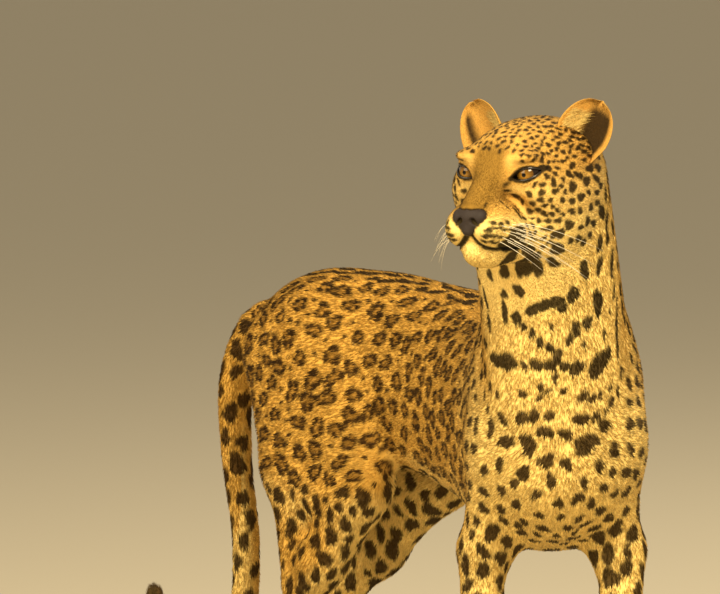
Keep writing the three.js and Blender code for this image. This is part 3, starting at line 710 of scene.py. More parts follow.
# The direction the coat lies in: from the nose back over the head, down the neck, back along the trunk,
# down the legs and along the tail.
def lie(p, normal):
    h, q = into_head(p), unbend(p)
    w_head = head_weight(h)
    back = -flat_way(ahead(heading_at(q[:, 0])))
    down = np.array([0, 0, -1.0])
    flow = blend(back + 0.35 * down, 0.25 * back + down, leg_weight(q))
    along_neck = unit(bend([806, 0, 540]) - NECK_TOP)
    flow = blend(flow, along_neck, neck_weight(p, q, w_head))
    from_nose = unit(h - [70, 0, -45])
    from_nose[:, 2] *= 0.8
    flow = blend(flow, (from_nose + [-0.55, 0, 0]) @ HEAD_TURN.T, w_head)
    nearest = nearest_tail(p)
    along_tail = TAIL[np.minimum(nearest + 1, TAIL_STEPS)] - TAIL[np.maximum(nearest - 1, 0)]
    flow = blend(flow, unit(along_tail), tail_weight(p, q))
    flow = flow - (flow * normal).sum(axis=1)[:, None] * normal
    return unit(flow)


def nearest_tail(p):
    """Which of the tail's places is nearest."""
    best = np.full(len(p), np.inf)
    which = np.zeros(len(p), int)
    for i, place in enumerate(TAIL):
        d = norm(p - place)
        closer = d < best
        best[closer] = d[closer]
        which[closer] = i
    return which


# The markings. Each is a spot or a broken ring on the skin, with its own long axis along the lie.
# Light hairs cross a mark's edge, so it is drawn a little larger than it is to look.
CELL_MM = 48
MARK_GROWTH = 1.2
RING_GROWTH = 1.1
PLACED_GROWTH = 1.13
EDGE_SOFTNESS = 1.0
MIRROR = np.array([1, -1, 1])
NEIGHBOURS = list(itertools.product((-1, 0, 1), repeat=3))


def cell_of(place):
    return (place // CELL_MM).astype(int)


def by_cell(p):
    """The rows of the places that share each cell of a coarse grid."""
    keys = cell_of(p)
    order = np.lexsort(keys.T)
    breaks = np.flatnonzero((np.diff(keys[order], axis=0) != 0).any(axis=1)) + 1
    return {tuple(keys[group[0]]): group for group in np.split(order, breaks) if len(group)}


def mark_shape(u, v, half_size, ring, seed):
    """How dark a mark is at places given in its half sizes, and how far inside a ring's rim they lie."""
    angle = np.arctan2(v, u)
    turn = np.random.default_rng(seed)
    a, b, c = turn.uniform(0, FULL_TURN, 3)
    rim = 1 + 0.13 * np.sin(2 * angle + a) + 0.10 * np.sin(3 * angle + b) + 0.05 * np.sin(5 * angle + c)
    edge = (np.hypot(u, v) / rim - 1) * half_size
    if not ring:
        return ramp(EDGE_SOFTNESS, -EDGE_SOFTNESS, edge), 0
    gap = np.cos(turn.integers(3, 5) * angle + a + 0.8 * np.sin(angle + b))
    thick = half_size * (0.62 + 0.12 * np.sin(2 * angle + c))
    band = np.abs(edge + thick / 2) - thick / 2
    band = np.maximum(band, (-0.88 - gap) * 9)
    return ramp(EDGE_SOFTNESS, -EDGE_SOFTNESS, band), ramp(1, -2, edge)


class Markings:
    def __init__(self, points, normals, flows):
        self.points, self.normals, self.flows = points, normals, flows
        self.marks = []
        self.taken = {}

    def add(self, i, flow, half_long, half_wide, ring=False):
        place = self.points[i]
        seed = int(rng.integers(1 << 30))
        self.marks.append((place, self.normals[i], flow, half_long, half_wide, ring, seed))
        self.taken.setdefault(tuple(cell_of(place)), []).append((place, (half_long + half_wide) / 2))

    def is_free(self, place, room):
        """Whether a mark that needs this room round its middle touches no other."""
        x, y, z = cell_of(place).tolist()
        for dx, dy, dz in NEIGHBOURS:
            for other, size in self.taken.get((x + dx, y + dy, z + dz), ()):
                if norm(place - other) < room + size:
                    return False
        return True

    def scatter(self, where, gap, half_long, half_wide, ring=False, jitter=0.18):
        """Marks at random in a region, with at least a gap between neighbours."""
        room = gap + (half_long + half_wide) / 2
        for i in rng.permutation(np.flatnonzero(where)):
            if not self.is_free(self.points[i], room):
                continue
            grow = rng.uniform(1 - jitter, 1 + jitter)
            turn = rng.normal(0, 0.3)
            side = np.cross(self.normals[i], self.flows[i])
            turned = self.flows[i] * math.cos(turn) + side * math.sin(turn)
            self.add(i, turned, half_long * grow, half_wide * grow * rng.uniform(0.85, 1.1), ring)

    def put_at_pixel(self, x, y, half_long, half_wide, tilt, both_sides=False):
        """A mark where the photograph shows one. The tilt is in degrees from level, seen by the camera."""
        i = seen_at(self.points, self.normals, x, y)
        angle = math.radians(tilt)
        flow = RIGHT * math.cos(angle) + UP * math.sin(angle)
        self.put_on(i, flow, half_long, half_wide)
        if both_sides:
            other = on_head(into_head(self.points[i]) * MIRROR)
            flow = (flow @ HEAD_TURN * MIRROR) @ HEAD_TURN.T
            self.put_on(norm(self.points - other).argmin(), flow, half_long, half_wide)

    def put_on(self, i, flow, half_long, half_wide):
        level = unit(flow - (flow @ self.normals[i]) * self.normals[i])
        self.add(i, level, half_long * PLACED_GROWTH, half_wide * PLACED_GROWTH)

    def ink(self, p):
        """How dark each place is under the marks, and how far inside a ring it lies."""
        cells = by_cell(p)
        dark, centre = np.zeros((2, len(p)))
        for place, normal, flow, half_long, half_wide, ring, seed in self.marks:
            growth = RING_GROWTH if ring else MARK_GROWTH
            half_long, half_wide = half_long * growth, half_wide * growth
            reach = max(half_long, half_wide) * 1.35
            spans = [range(a, b + 1) for a, b in zip(cell_of(place - reach), cell_of(place + reach))]
            groups = [cells[key] for key in itertools.product(*spans) if key in cells]
            if not groups:
                continue
            index = np.concatenate(groups)
            off = p[index] - place
            near = (np.abs(off @ normal) < 0.5 * reach + 8) & (norm(off) < reach * 1.25)
            index, off = index[near], off[near]
            u = off @ flow / half_long
            v = off @ np.cross(normal, flow) / half_wide
            value, inside = mark_shape(u, v, min(half_long, half_wide), ring, seed)
            dark[index] = np.maximum(dark[index], value)
            centre[index] = np.maximum(centre[index], inside)
        return dark, centre


# The photograph's camera: which way it looks, and where a pixel of the photograph falls on the skin.
TOWARD = np.array([math.sin(VIEW_AZIMUTH), -math.cos(VIEW_AZIMUTH), 0.0])
RIGHT = np.array([math.cos(VIEW_AZIMUTH), math.sin(VIEW_AZIMUTH), 0.0])
BACK = TOWARD * math.cos(VIEW_ELEVATION) + np.array([0, 0, math.sin(VIEW_ELEVATION)])
UP = np.cross(BACK, RIGHT)


def make_camera():
    across, down = (np.array([PHOTO_WIDTH, PHOTO_HEIGHT]) / 2 - MID_EYE_PIXEL) / PIXELS_PER_METRE
    aim = to_frame(on_head([0, 0, 0])) + RIGHT * across - UP * down
    data = bpy.data.cameras.new("camera")
    data.sensor_width = SENSOR_MM
    data.lens = SENSOR_MM * VIEW_DISTANCE / (PHOTO_WIDTH / PIXELS_PER_METRE)
    data.clip_end = 60
    camera = bpy.data.objects.new("camera", data)
    turn = Matrix(np.column_stack([RIGHT, UP, BACK]).tolist()).to_4x4()
    camera.matrix_world = Matrix.Translation(Vector(aim + BACK * VIEW_DISTANCE)) @ turn
    bpy.context.collection.objects.link(camera)
    bpy.context.scene.camera = camera


make_camera()


def pixels_of(p):
    """Where places in millimetres are seen in the photograph's frame, and how near they are."""
    off = to_frame(p) - to_frame(on_head([0, 0, 0]))
    across = MID_EYE_PIXEL[0] + off @ RIGHT * PIXELS_PER_METRE
    return across, MID_EYE_PIXEL[1] - off @ UP * PIXELS_PER_METRE, off @ BACK


def seen_at(points, normals, x, y):
    """Which of the skin's points the photograph shows at a pixel: the nearest of those within three pixels."""
    across, down, near = pixels_of(points)
    miss = np.hypot(across - x, down - y)
    miss = np.where(normals @ BACK > 0.05, miss, np.inf)
    return np.where(miss < miss.min() + 3, near, -np.inf).argmax()


# Meshes and materials.
def make_object(name, points, faces, material, colour=None):
    mesh = bpy.data.meshes.new(name)
    corners = np.concatenate([*faces])
    mesh.vertices.add(len(points))
    mesh.vertices.foreach_set("co", to_frame(points).ravel().astype(np.float32))
    mesh.loops.add(len(corners))
    mesh.loops.foreach_set("vertex_index", corners.astype(np.int32))
    mesh.polygons.add(len(faces))
    starts = np.cumsum([0, *map(len, faces[:-1])])
    mesh.polygons.foreach_set("loop_start", starts.astype(np.int32))
    mesh.update(calc_edges=True)
    mesh.polygons.foreach_set("use_smooth", np.ones(len(faces), bool))
    if colour is not None:
        layer = mesh.color_attributes.new("coat", "FLOAT_COLOR", "POINT")
        rgba = np.column_stack([np.clip(colour, 0, 1), np.ones(len(colour))])
        layer.data.foreach_set("color", rgba.ravel().astype(np.float32))
    mesh.update()
    mesh.materials.append(material)
    made = bpy.data.objects.new(name, mesh)
    bpy.context.collection.objects.link(made)
    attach(made, "root")
    return made


def set_inputs(node, values):
    for name, value in values.items():
        node.inputs[name].default_value = value


def new_material(name, values):
    """A material whose shader has these values, with that shader, its nodes and its links."""
    material = bpy.data.materials.new(name)
    material.use_nodes = True
    tree = material.node_tree
    shader = tree.nodes["Principled BSDF"]
    set_inputs(shader, values)
    return material, shader, tree.nodes, tree.links


def add_grain(shader, nodes, links, scale, detail, bump, depth):
    """Fine noise over a material, which also stands out from it as a bump."""
    where = nodes.new("ShaderNodeTexCoord")
    noise = nodes.new("ShaderNodeTexNoise")
    set_inputs(noise, {"Scale": scale, "Detail": detail})
    links.new(where.outputs["Object"], noise.inputs["Vector"])
    height = nodes.new("ShaderNodeBump")
    set_inputs(height, {"Strength": bump, "Distance": depth})
    links.new(noise.outputs["Fac"], height.inputs["Height"])
    links.new(height.outputs["Normal"], shader.inputs["Normal"])
    return noise


def coat_material(name, roughness, bump, scale, wet=0.0):
    """A material that takes its colour from the mesh's own, as the skin, the tufts and the eyes do."""
    values = {"Roughness": roughness, "Specular IOR Level": 0.12, "Coat Weight": wet}
    material, shader, nodes, links = new_material(name, values)
    colour = nodes.new("ShaderNodeAttribute")
    colour.attribute_name = "coat"
    links.new(colour.outputs["Color"], shader.inputs["Base Color"])
    add_grain(shader, nodes, links, scale, 6, bump, 0.002)
    return material


def plain_material(name, colour, roughness, bump, scale, wet):
    """A material of one colour, a little darker and lighter in its grain."""
    values = {"Roughness": roughness, "Coat Weight": wet, "Coat Roughness": 0.03}
    material, shader, nodes, links = new_material(name, values)
    noise = add_grain(shader, nodes, links, scale, 5, bump, 0.0006)
    shades = nodes.new("ShaderNodeValToRGB")
    for element, position, share in zip(shades.color_ramp.elements, (0.3, 0.7), (0.75, 1.2)):
        element.position = position
        element.color = (*np.clip(colour * share, 0, 1), 1)
    links.new(noise.outputs["Fac"], shades.inputs["Fac"])
    links.new(shades.outputs["Color"], shader.inputs["Base Color"])
    return material


SKIN = coat_material("skin_fur", 0.85, 0.6, 260)
TUFT = coat_material("tuft_fur", 0.75, 0.15, 500)


# The skin.
skin_points, skin_faces = surface(skin_distance, skin_lines())
skin_normals = unit(steepness(skin_distance, skin_points)[1])
skin_flow = lie(skin_points, skin_normals)


# The marks that tell this animal apart: the pixel of the photograph that each is seen at, its half length
# and half width in millimetres, and its tilt in degrees from level.
CHEST_MARKS = [
    (588, 271, 9.5, 6, 125), (604, 266, 9.5, 5, 90), (519, 294, 6.5, 5, 110), (502, 296, 5, 3.5, 90),
    (484, 300, 10, 4, 90), (503, 314, 12, 3.5, 75), (515, 320, 6.5, 5.5, 120), (487, 322, 10, 3, 90),
    (533, 312, 9, 4, 50), (545, 309, 9, 5.5, 30), (553, 305, 9, 5.5, 10), (563, 306, 9, 6, 145),
    (577, 297, 8.5, 6, 115), (602, 304, 13, 7, 95), (591, 322, 7.5, 6, 100), (581, 331, 7.5, 4.5, 105),
    (573, 340, 6.5, 4, 100), (589, 348, 4, 3.3, 120), (609, 336, 4.5, 3.5, 120), (615, 310, 4, 2.5, 90),
    (524, 330, 4, 3, 90), (530, 335, 5.5, 3.5, 80), (539, 345, 5.5, 3.5, 85), (552, 331, 5, 2, 90),
    (484, 342, 6, 4.5, 90), (501, 363, 16, 9.5, 8), (522, 368, 4.5, 4.2, 0), (537, 368, 6.5, 5.5, 0),
    (550, 369, 7.5, 5, 120), (551, 351, 5.5, 4, 120), (561, 360, 8, 5, 80), (568, 368, 5.5, 5, 0),
    (582, 369, 8.5, 6, 5), (604, 363, 17, 10, 18), (557, 382, 4.5, 3.3, 90), (489, 389, 6, 3.5, 80),
    (496, 397, 4.5, 3.5, 60), (483, 398, 5.5, 3, 90), (486, 409, 5.5, 3, 75), (522, 398, 4.8, 3.6, 0),
    (542, 392, 5, 3.2, 90), (540, 403, 4, 3, 20), (549, 396, 4, 3, 20), (568, 395, 4, 3.2, 0),
    (585, 401, 7, 5, 0), (598, 400, 6, 4.3, 0), (606, 396, 4, 4, 0), (616, 402, 5, 4.5, 60),
    (616, 388, 3.8, 3.2, 90), (624, 394, 4.5, 3.5, 90), (501, 422, 6.5, 5, 150), (520, 421, 6.8, 6.4, 0),
    (533, 419, 6.5, 5.2, 70), (548, 419, 5, 5, 0), (583, 424, 8.5, 6, 0), (599, 419, 5.2, 4.3, 0),
    (608, 430, 7.3, 6.5, 40), (611, 413, 3.4, 2.8, 90), (476, 427, 8.5, 5, 75), (490, 429, 9.5, 5, 80),
    (504, 443, 12, 5, 15), (529, 450, 9.5, 9, 90), (547, 436, 7.3, 6.3, 0), (568, 439, 6.5, 5.5, 0),
    (590, 450, 13.5, 9, 8), (621, 452, 9, 6, 90), (617, 262, 16, 4.6, 97), (622, 322, 20, 4.6, 92),
    (611, 222, 10, 4, 97), (619, 291, 8, 4, 92), (623, 349, 10, 4.4, 90), (627, 373, 6.5, 5.5, 20),
]
THROAT_MARKS = [
    (487, 276, 7, 4, 90), (501, 271, 9, 5, 75), (519, 269, 10, 5, 85), (528, 270, 11, 4.5, 90),
    (539, 268, 12, 5.5, 105), (553, 265, 8, 4, 140), (511, 261, 12, 6, 20), (530, 262, 14, 6, 0),
    (560, 251, 9, 5.5, 150), (561, 236, 7, 5, 30), (573, 226, 6, 5, 90),
]
FACE_MARKS = [
    (516, 246, 17, 11, 160), (529, 253, 10, 6, 150), (487, 203, 3.5, 1.4, 50), (509, 192, 4, 2, 150),
    (515, 199, 4.5, 2.2, 145), (517, 208, 4.5, 2.2, 140), (525, 196, 4, 2.6, 150), (529, 205, 4, 2.8, 150),
    (503, 200, 3, 1.5, 150), (510, 206, 3.2, 1.6, 140), (522, 214, 4, 2.6, 120), (536, 188, 3.6, 2.4, 60),
    (545, 194, 3.8, 3.2, 90), (556, 181, 4.4, 3.4, 90), (549, 175, 3.6, 3.2, 60), (545, 160, 4, 3.6, 30),
]
# Rows of dots on the whisker pads: the pixels where a row starts and ends, its height, and its dots.
WHISKER_ROWS = [(494, 510, 222, 3), (484, 513, 231, 6), (481, 508, 239, 6), (484, 504, 245, 4)]
WHISKER_DOT = (3.5, 1.9)
# The part of the photograph in which the chest's marks are all listed: left, top, right, bottom.
CHEST_PIXELS = (478, 248, 632, 462)
# Where regions of the trunk end, in millimetres along it or up.
RINGS_END = 670
CHEST_FROM = 780
SHOULDER_END = 800
BELLY_TOP = 395


def place_marks():
    marks = Markings(skin_points, skin_normals, skin_flow)
    p, n = skin_points, skin_normals
    h, q = into_head(p), unbend(p)
    w_head = head_weight(h)
    w_neck = neck_weight(p, q, w_head)
    w_leg = leg_weight(q)
    w_tail = tail_weight(p, q)
    for mark in CHEST_MARKS + THROAT_MARKS:
        marks.put_at_pixel(*mark)
    for mark in FACE_MARKS:
        marks.put_at_pixel(*mark, both_sides=True)
    for left, right, y, count in WHISKER_ROWS:
        for x in np.linspace(left, right, count):
            marks.put_at_pixel(x, y, *WHISKER_DOT, 0, both_sides=True)
    x, y, _ = pixels_of(p)
    left, top, right, bottom = CHEST_PIXELS
    shown = (n @ BACK > 0.15) & (x > left) & (x < right) & (y > top) & (y < bottom)
    m = one_side(h)
    along, height = q[:, 0], q[:, 2]
    face = (w_head > 0.5) & ~shown & (norm(m - [2, 37, 0]) > 25)
    crown = face & (h[:, 2] > 12) & (h[:, 0] < 22)
    marks.scatter(crown & (h[:, 0] > -45), 2.0, 3.2, 2.2)
    marks.scatter(crown, 1.6, 4.0, 2.5)
    cheek = face & ~crown & (h[:, 0] < 20) & (m[:, 1] > 30)
    marks.scatter(cheek & (h[:, 0] > -22), 2.4, 3.8, 2.7)
    marks.scatter(cheek, 3.6, 5.4, 4.2)
    body = (w_head < 0.5) & (w_tail < 0.5) & ~shown
    spine = body & (w_neck < 0.5) & (height > 622) & (np.abs(q[:, 1]) < 34)
    marks.scatter(spine, 3.2, 12, 6.2)
    trunk = body & (w_neck < 0.4) & (w_leg < 0.5) & (height > BELLY_TOP) & (n[:, 2] > -0.5)
    marks.scatter(trunk & (along < RINGS_END), 3.4, 12.5, 10.3, ring=True, jitter=0.12)
    marks.scatter(trunk & (along >= RINGS_END) & (along < SHOULDER_END), 4.0, 8.5, 5.4)
    marks.scatter(body & (w_neck > 0.3), 6.5, 9.0, 6.0)
    marks.scatter(body & (along > CHEST_FROM) & (w_leg < 0.5), 8.0, 8.0, 6.0)
    marks.scatter(body & (w_leg >= 0.4) & (height > 240), 6.5, 10.5, 7.5)
    marks.scatter(body & (w_leg >= 0.4) & (height > 100), 5.5, 7.0, 5.0)
    marks.scatter(body & (height <= 110), 4.5, 3.8, 2.8)
    marks.scatter(body & (n[:, 2] < -0.3), 10.0, 11.0, 8.0)
    marks.scatter(w_tail > 0.5, 5.0, 10.5, 8.0)
    marks.scatter(trunk & (along < RINGS_END), 7.5, 3.4, 2.8)
    return marks


MARKS = place_marks()


def coat_colour(p, normal):
    jitter = 1.1 * np.column_stack([smooth_noise(p, 7, k) for k in (11, 12, 13)])
    dark, centre = MARKS.ink(p + jitter)
    h, q = into_head(p), unbend(p)
    inside = 0.75 * centre * (1 - pale_weight(p, normal))
    colour = blend(base_colour(p, normal), DEEP_GOLD * 0.62, inside)
    ink = blend(BROWN_INK, INK, np.maximum(ramp(520, 640, q[:, 2]), 0.25))
    colour = blend(colour, ink, 0.94 * np.maximum(dark, tail_bands(p, q)))
    return blend(colour, BLACK, 0.96 * face_ink(one_side(h)))


def tail_bands(p, q):
    """The black bands round the last third of the tail, and its black tip."""
    share = nearest_tail(p) / TAIL_STEPS
    bands = ramp(-0.1, 0.5, np.sin(share * 2 * math.pi * 15))
    tip = ramp(0.95, 0.98, share)
    return np.maximum(bands * ramp(0.62, 0.7, share), tip) * tail_weight(p, q)


def face_ink(m):
    """How black the face is: the rims of the eyes, their corner lines, the lips, and painted shade in the
    nostrils.
    """
    e = m - EYE_PLACE
    rim = ramp(4.4, 2.2, almond_distance(e)) * ((norm(e) < 34) & (m[:, 0] > -12))
    corner_in = ramp(3.4, 1.2, bar(m, [15, 22, -5], [30, 15, -14], 4.4, 1.8))
    corner_out = ramp(3.4, 1.4, bar(m, [2, 55, 6], [-14, 66, 12], 2.6, 1.4))
    mouth = ramp(3.4, 1.4, mouth_distance(on_head(m)))
    # Painted shade: the skin and the tufts round each nostril are blackened to stand for the hollow's shadow.
    nostril = ramp(9.5, 7.5, norm(m - [78, 10, -51]))
    nose = ramp(1.4, 0.4, nose_distance(on_head(m)))
    return np.maximum.reduce([rim, corner_in, corner_out, mouth, nose, nostril])


# A flat layout of the skin's own shape, in regions: the trunk round its midline, the head round its axis,
# the legs round theirs and the tail along itself.
TRUNK, HEAD, FORELEG, HINDLEG, TAIL_REGION = range(5)
LEG_MIDDLES = {FORELEG: (780, 0.77), HINDLEG: (110, 0.86)}
LEG_TOP = 380


def layout(p):
    h, q = into_head(p), unbend(p)
    region = np.full(len(p), TRUNK)
    region[q[:, 2] < LEG_TOP] = FORELEG
    region[(q[:, 2] < LEG_TOP) & (q[:, 0] < 450)] = HINDLEG
    region[tail_weight(p, q) > 0.5] = TAIL_REGION
    region[head_weight(h) > 0.5] = HEAD
    return region


def turn_share(a, b):
    """The share of a full turn that a direction has made."""
    return np.arctan2(a, b) / (2 * math.pi) + 0.5


def flat_place(p, region):
    h, q = into_head(p), unbend(p)
    u = 0.02 + 0.5 * np.clip((q[:, 0] + 20) / 1000, 0, 1)
    v = 0.02 + 0.94 * turn_share(q[:, 1], q[:, 2] - 500)
    on = region == HEAD
    u[on] = 0.55 + 0.2 * np.clip((100 - h[on, 0]) / 240, 0, 1)
    v[on] = 0.02 + 0.94 * turn_share(h[on, 1], h[on, 2] + 20)
    for leg, (middle, left_edge) in LEG_MIDDLES.items():
        on = region == leg
        u[on] = left_edge + 0.08 * turn_share(q[on, 0] - middle, np.abs(q[on, 1]) - 78)
        v[on] = np.where(q[on, 1] > 0, 0.02, 0.5) + 0.46 * np.clip(q[on, 2] / 385, 0, 1)
    on = region == TAIL_REGION
    step = nearest_tail(p[on])
    off = p[on] - TAIL[step]
    u[on] = 0.95 + 0.045 * turn_share(off[:, 1], off[:, 0] + off[:, 2])
    v[on] = 0.02 + 0.94 * step / TAIL_STEPS
    return np.column_stack([u, v])


def set_flat_places(made, corners):
    layer = made.data.uv_layers.new(name="OFBake")
    layer.data.foreach_set("uv", corners.reshape(-1).astype(np.float32))


def lay_out_faces(made, points, faces):
    """Each face at its place on the flat layout. One that crosses a region's edge becomes a small patch."""
    faces = np.asarray(faces)
    centre = points[faces].mean(axis=1)
    region = layout(centre)
    home = flat_place(centre, region)[:, None]
    corners = flat_place(points[faces].reshape(-1, 3), np.repeat(region, faces.shape[1]))
    away = corners.reshape(*faces.shape, 2) - home
    away = np.where(np.abs(away) > 0.03, np.sign(away) * 0.002, away)
    set_flat_places(made, home + away)


skin = make_object("skin", skin_points, skin_faces, SKIN, coat_colour(skin_points, skin_normals))
lay_out_faces(skin, skin_points, skin_faces)
FLESH_NODES = [name for name in frame["nodes"] if not name.startswith(("eye", "ear", "nose"))]
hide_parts(*FLESH_NODES)


# Tufts: thin tapered blades of three sides, rooted in the skin, that lie along the coat. Each has the
# colour of the place under its middle, darkened at its root as painted shade and lightened at its tip as
# painted light, and its own patch on the flat layout.
TUFT_SINK = 0.8
TUFT_PATCH = 0.003
BLADE = np.array([[0, 1, 3], [1, 2, 3], [2, 0, 3], [0, 2, 1]])
PATCH = np.array([[0, 0], [1, 0], [0.5, 0.3], [0.5, 1]]) * TUFT_PATCH
# Painted shade deep in the coat at a tuft's root, and painted light at its tip: a tuft's colour is scaled by
# these.
ROOT_PAINTED_SHADE = 0.86
TIP_PAINTED_LIGHT = 1.08


def make_tufts(name, roots, normals, flows, lengths, widths, lift, seed, colour_of):
    turn = np.random.default_rng(seed)
    count = len(roots)
    spread = turn.normal(0, 0.16, count)[:, None]
    flows = unit(flows + np.cross(normals, flows) * spread)
    side = np.cross(normals, flows)
    lengths = (lengths * turn.uniform(0.75, 1.2, count))[:, None]
    widths = (widths * turn.uniform(0.8, 1.2, count))[:, None]
    rise = (lift * turn.uniform(0.6, 1.25, count))[:, None]
    start = roots - normals * TUFT_SINK
    tip = roots + flows * lengths + normals * lengths * rise
    ring = [start - side * widths * 0.5, start + side * widths * 0.5, start + normals * widths * 0.45]
    points = np.stack([*ring, tip], axis=1).reshape(-1, 3)
    faces = (np.arange(count)[:, None, None] * 4 + BLADE).reshape(-1, 3)
    colour = colour_of(roots + flows * lengths * 0.5, normals) * turn.uniform(0.88, 1.12, count)[:, None]
    colours = np.stack([colour * ROOT_PAINTED_SHADE] * 3 + [colour * TIP_PAINTED_LIGHT], axis=1).reshape(-1, 3)
    made = make_object(name, points, faces, TUFT, colours)
    flat = (flat_place(roots, layout(roots))[:, None] + PATCH).reshape(-1, 2)
    set_flat_places(made, flat[faces.reshape(-1)])


def scatter_roots(weight, count, seed):
    """Roots at random on the skin, more of them where the weight is high, evenly by area."""
    turn = np.random.default_rng(seed)
    a, b, c, d = (skin_points[skin_faces[:, k]] for k in range(4))
    area = norm(np.cross(c - a, d - b)) / 2
    share = area * weight[skin_faces].mean(axis=1)
    picked = turn.choice(len(area), count, p=share / share.sum())
    s, t = turn.uniform(0, 1, (2, count, 1))
    mix = [(1 - s) * (1 - t), s * (1 - t), s * t, (1 - s) * t]
    rows = skin_faces[picked]
    roots = sum(m * skin_points[rows[:, k]] for k, m in enumerate(mix))
    normals = unit(sum(m * skin_normals[rows[:, k]] for k, m in enumerate(mix)))
    return roots, normals


TUFTS_PER_PIECE = 46000
HEAD_TUFTS = 90000
BODY_TUFTS = 205000
HEAD_LIFT = 0.2
BODY_LIFT = 0.19


def coat_pieces(label, weight, count, size_at, lift, seed):
    roots, normals = scatter_roots(weight, count, seed)
    flows = lie(roots, normals)
    parts = np.array_split(np.argsort(roots[:, 0]), math.ceil(count / TUFTS_PER_PIECE))
    for k, part in enumerate(parts):
        places = (roots[part], normals[part], flows[part])
        make_tufts(f"{label}_{k}", *places, *size_at(roots[part]), lift, seed + k, coat_colour)


# The length and width of the tufts, in millimetres, smallest on the face and the feet.
def head_tufts(p):
    h = into_head(p)
    close = ramp(-130, -20, h[:, 0]) * ramp(215, 160, norm(h))
    return 6.6 - 3.0 * close, 1.2 - 0.35 * close


def body_tufts(p):
    low = ramp(160, 30, p[:, 2])
    return 9.5 - 5.0 * low, 1.8 - 0.8 * low


def grow_coat():
    h = into_head(skin_points)
    m = one_side(h)
    w_head = head_weight(h)
    clear_eye = ramp(1.5, 4, almond_distance(m - EYE_PLACE))
    clear_eye = np.where(norm(m - EYE_PLACE) > 34, 1, clear_eye)
    clear_nose = ramp(12, 18, norm((m - [86, 6, -51]) * [0.6, 0.8, 1.0]))
    furred = clear_eye * clear_nose * (skin_points[:, 2] > 6)
    coat_pieces("coat_head", w_head * furred, HEAD_TUFTS, head_tufts, HEAD_LIFT, 100)
    coat_pieces("coat_body", (1 - w_head) * furred, BODY_TUFTS, body_tufts, BODY_LIFT, 200)


grow_coat()


def grid_faces(rows, columns, width):
    """Faces between rows of points. A row has this width, and closes on itself where it has no more columns."""
    return [
        [i * width + j, i * width + k, (i + 1) * width + k, (i + 1) * width + j]
        for i in range(rows)
        for j, k in ((j, (j + 1) % width) for j in range(columns))
    ]


# The eyes: an amber iris with a dark rim and a small round pupil, under a clear wet coat. The iris is
# darker towards its top, a painted shadow of the upper lid.
# The pupil's and the iris's edges are in degrees from the middle of the eye.
PUPIL = 9
IRIS = 44
IRIS_INNER = tone(146, 104, 32)
IRIS_OUTER = tone(86, 57, 14)
EYE_RIM = tone(24, 15, 8)
EYE_MATERIAL = coat_material("eye_wet", 0.12, 0.0, 300, wet=0.5)


def make_eye(node, side):
    rings, columns = 48, 48
    look = unit(np.array([1, side * 0.12, -0.02]))
    level = unit(np.cross([0, 0, 1], look))
    top = np.cross(look, level)
    points, colours = [], []
    for polar in math.pi * np.arange(rings + 1) / rings:
        for turn in 2 * math.pi * np.arange(columns) / columns:
            out = look * math.cos(polar) + (level * math.cos(turn) + top * math.sin(turn)) * math.sin(polar)
            cornea = 0.985 + 0.03 * max(math.cos(polar), 0) ** 6
            points.append(EYE_PLACE * [1, side, 1] + out * EYE_RADIUS * cornea)
            colours.append(iris_colour(math.degrees(polar), turn))
    faces = [face[::-1] for face in grid_faces(rings, columns, columns)]
    made = make_object(node + "_ball", on_head(points), faces, EYE_MATERIAL, np.array(colours))
    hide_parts(node)


def iris_colour(degrees_out, turn):
    if degrees_out < PUPIL:
        return BLACK * 0.3
    if degrees_out >= IRIS:
        return EYE_RIM
    ray = 0.5 + 0.5 * math.sin(turn * 23 + 2 * math.sin(turn * 5))
    fade = (degrees_out - PUPIL) / (IRIS - PUPIL)
    # Painted shadow of the upper lid: the iris is darkened towards its top.
    lid_shadow = 0.6 + 0.4 * ramp(0.9, -0.4, math.sin(turn))
    return (IRIS_INNER * (1 - fade) + IRIS_OUTER * fade) * (0.85 + 0.3 * ray) * lid_shadow


def tube(path, radii, sides):
    path = np.asarray(path, float)
    along = unit(np.gradient(path, axis=0))
    first = unit(np.cross(along, [0.3, 0.2, 0.9]))
    second = np.cross(along, first)
    turns = 2 * math.pi * np.arange(sides) / sides
    points = [
        place + (first[i] * math.cos(turn) + second[i] * math.sin(turn)) * radii[i]
        for i, place in enumerate(path)
        for turn in turns
    ]
    end = (len(path) - 1) * sides
    caps = [list(range(sides))[::-1], [end + j for j in range(sides)]]
    return np.array(points), grid_faces(len(path) - 1, sides, sides) + caps


# The lids' dark edges follow the almond over the eyeball.
LID_EDGE = 1.35
LID_BLACK = plain_material("lid_black", tone(20, 14, 10), 0.35, 0.2, 900, 0.3)


def make_lid_edge(name, side):
    path = []
    steps = 40
    for i in range(steps):
        across = math.cos(2 * math.pi * i / steps) * 0.985
        edge = (ALMOND_UP if i < steps / 2 else -ALMOND_DOWN) * (1 - across**2)
        y = across * ALMOND_WIDTH / 2
        out = math.sqrt(max((EYE_RADIUS + 1.1) ** 2 - y * y - edge * edge, 9))
        path.append((EYE_PLACE + EYE_AXES @ [out, y, edge]) * [1, side, 1])
    path.append(path[0])
    points, faces = tube(path, [LID_EDGE] * len(path), 6)
    made = make_object(name, on_head(points), faces, LID_BLACK)


for name, side in SIDES.items():
    make_eye(f"eye_{name}", side)
for name, side in SIDES.items():
    make_lid_edge(f"lid_edge_{name}", side)


# The nose leather as its own piece.
def make_nose():
    lines = [np.arange(v - 30, v + 30, 1.3) for v in on_head([76, 0, -52])]
    leather = plain_material("nose_leather", tone(30, 16, 9), 0.75, 0.5, 900, 0.0)
    made = make_object("nose_leather", *surface(nose_distance, lines), leather)
    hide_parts("nose")


make_nose()


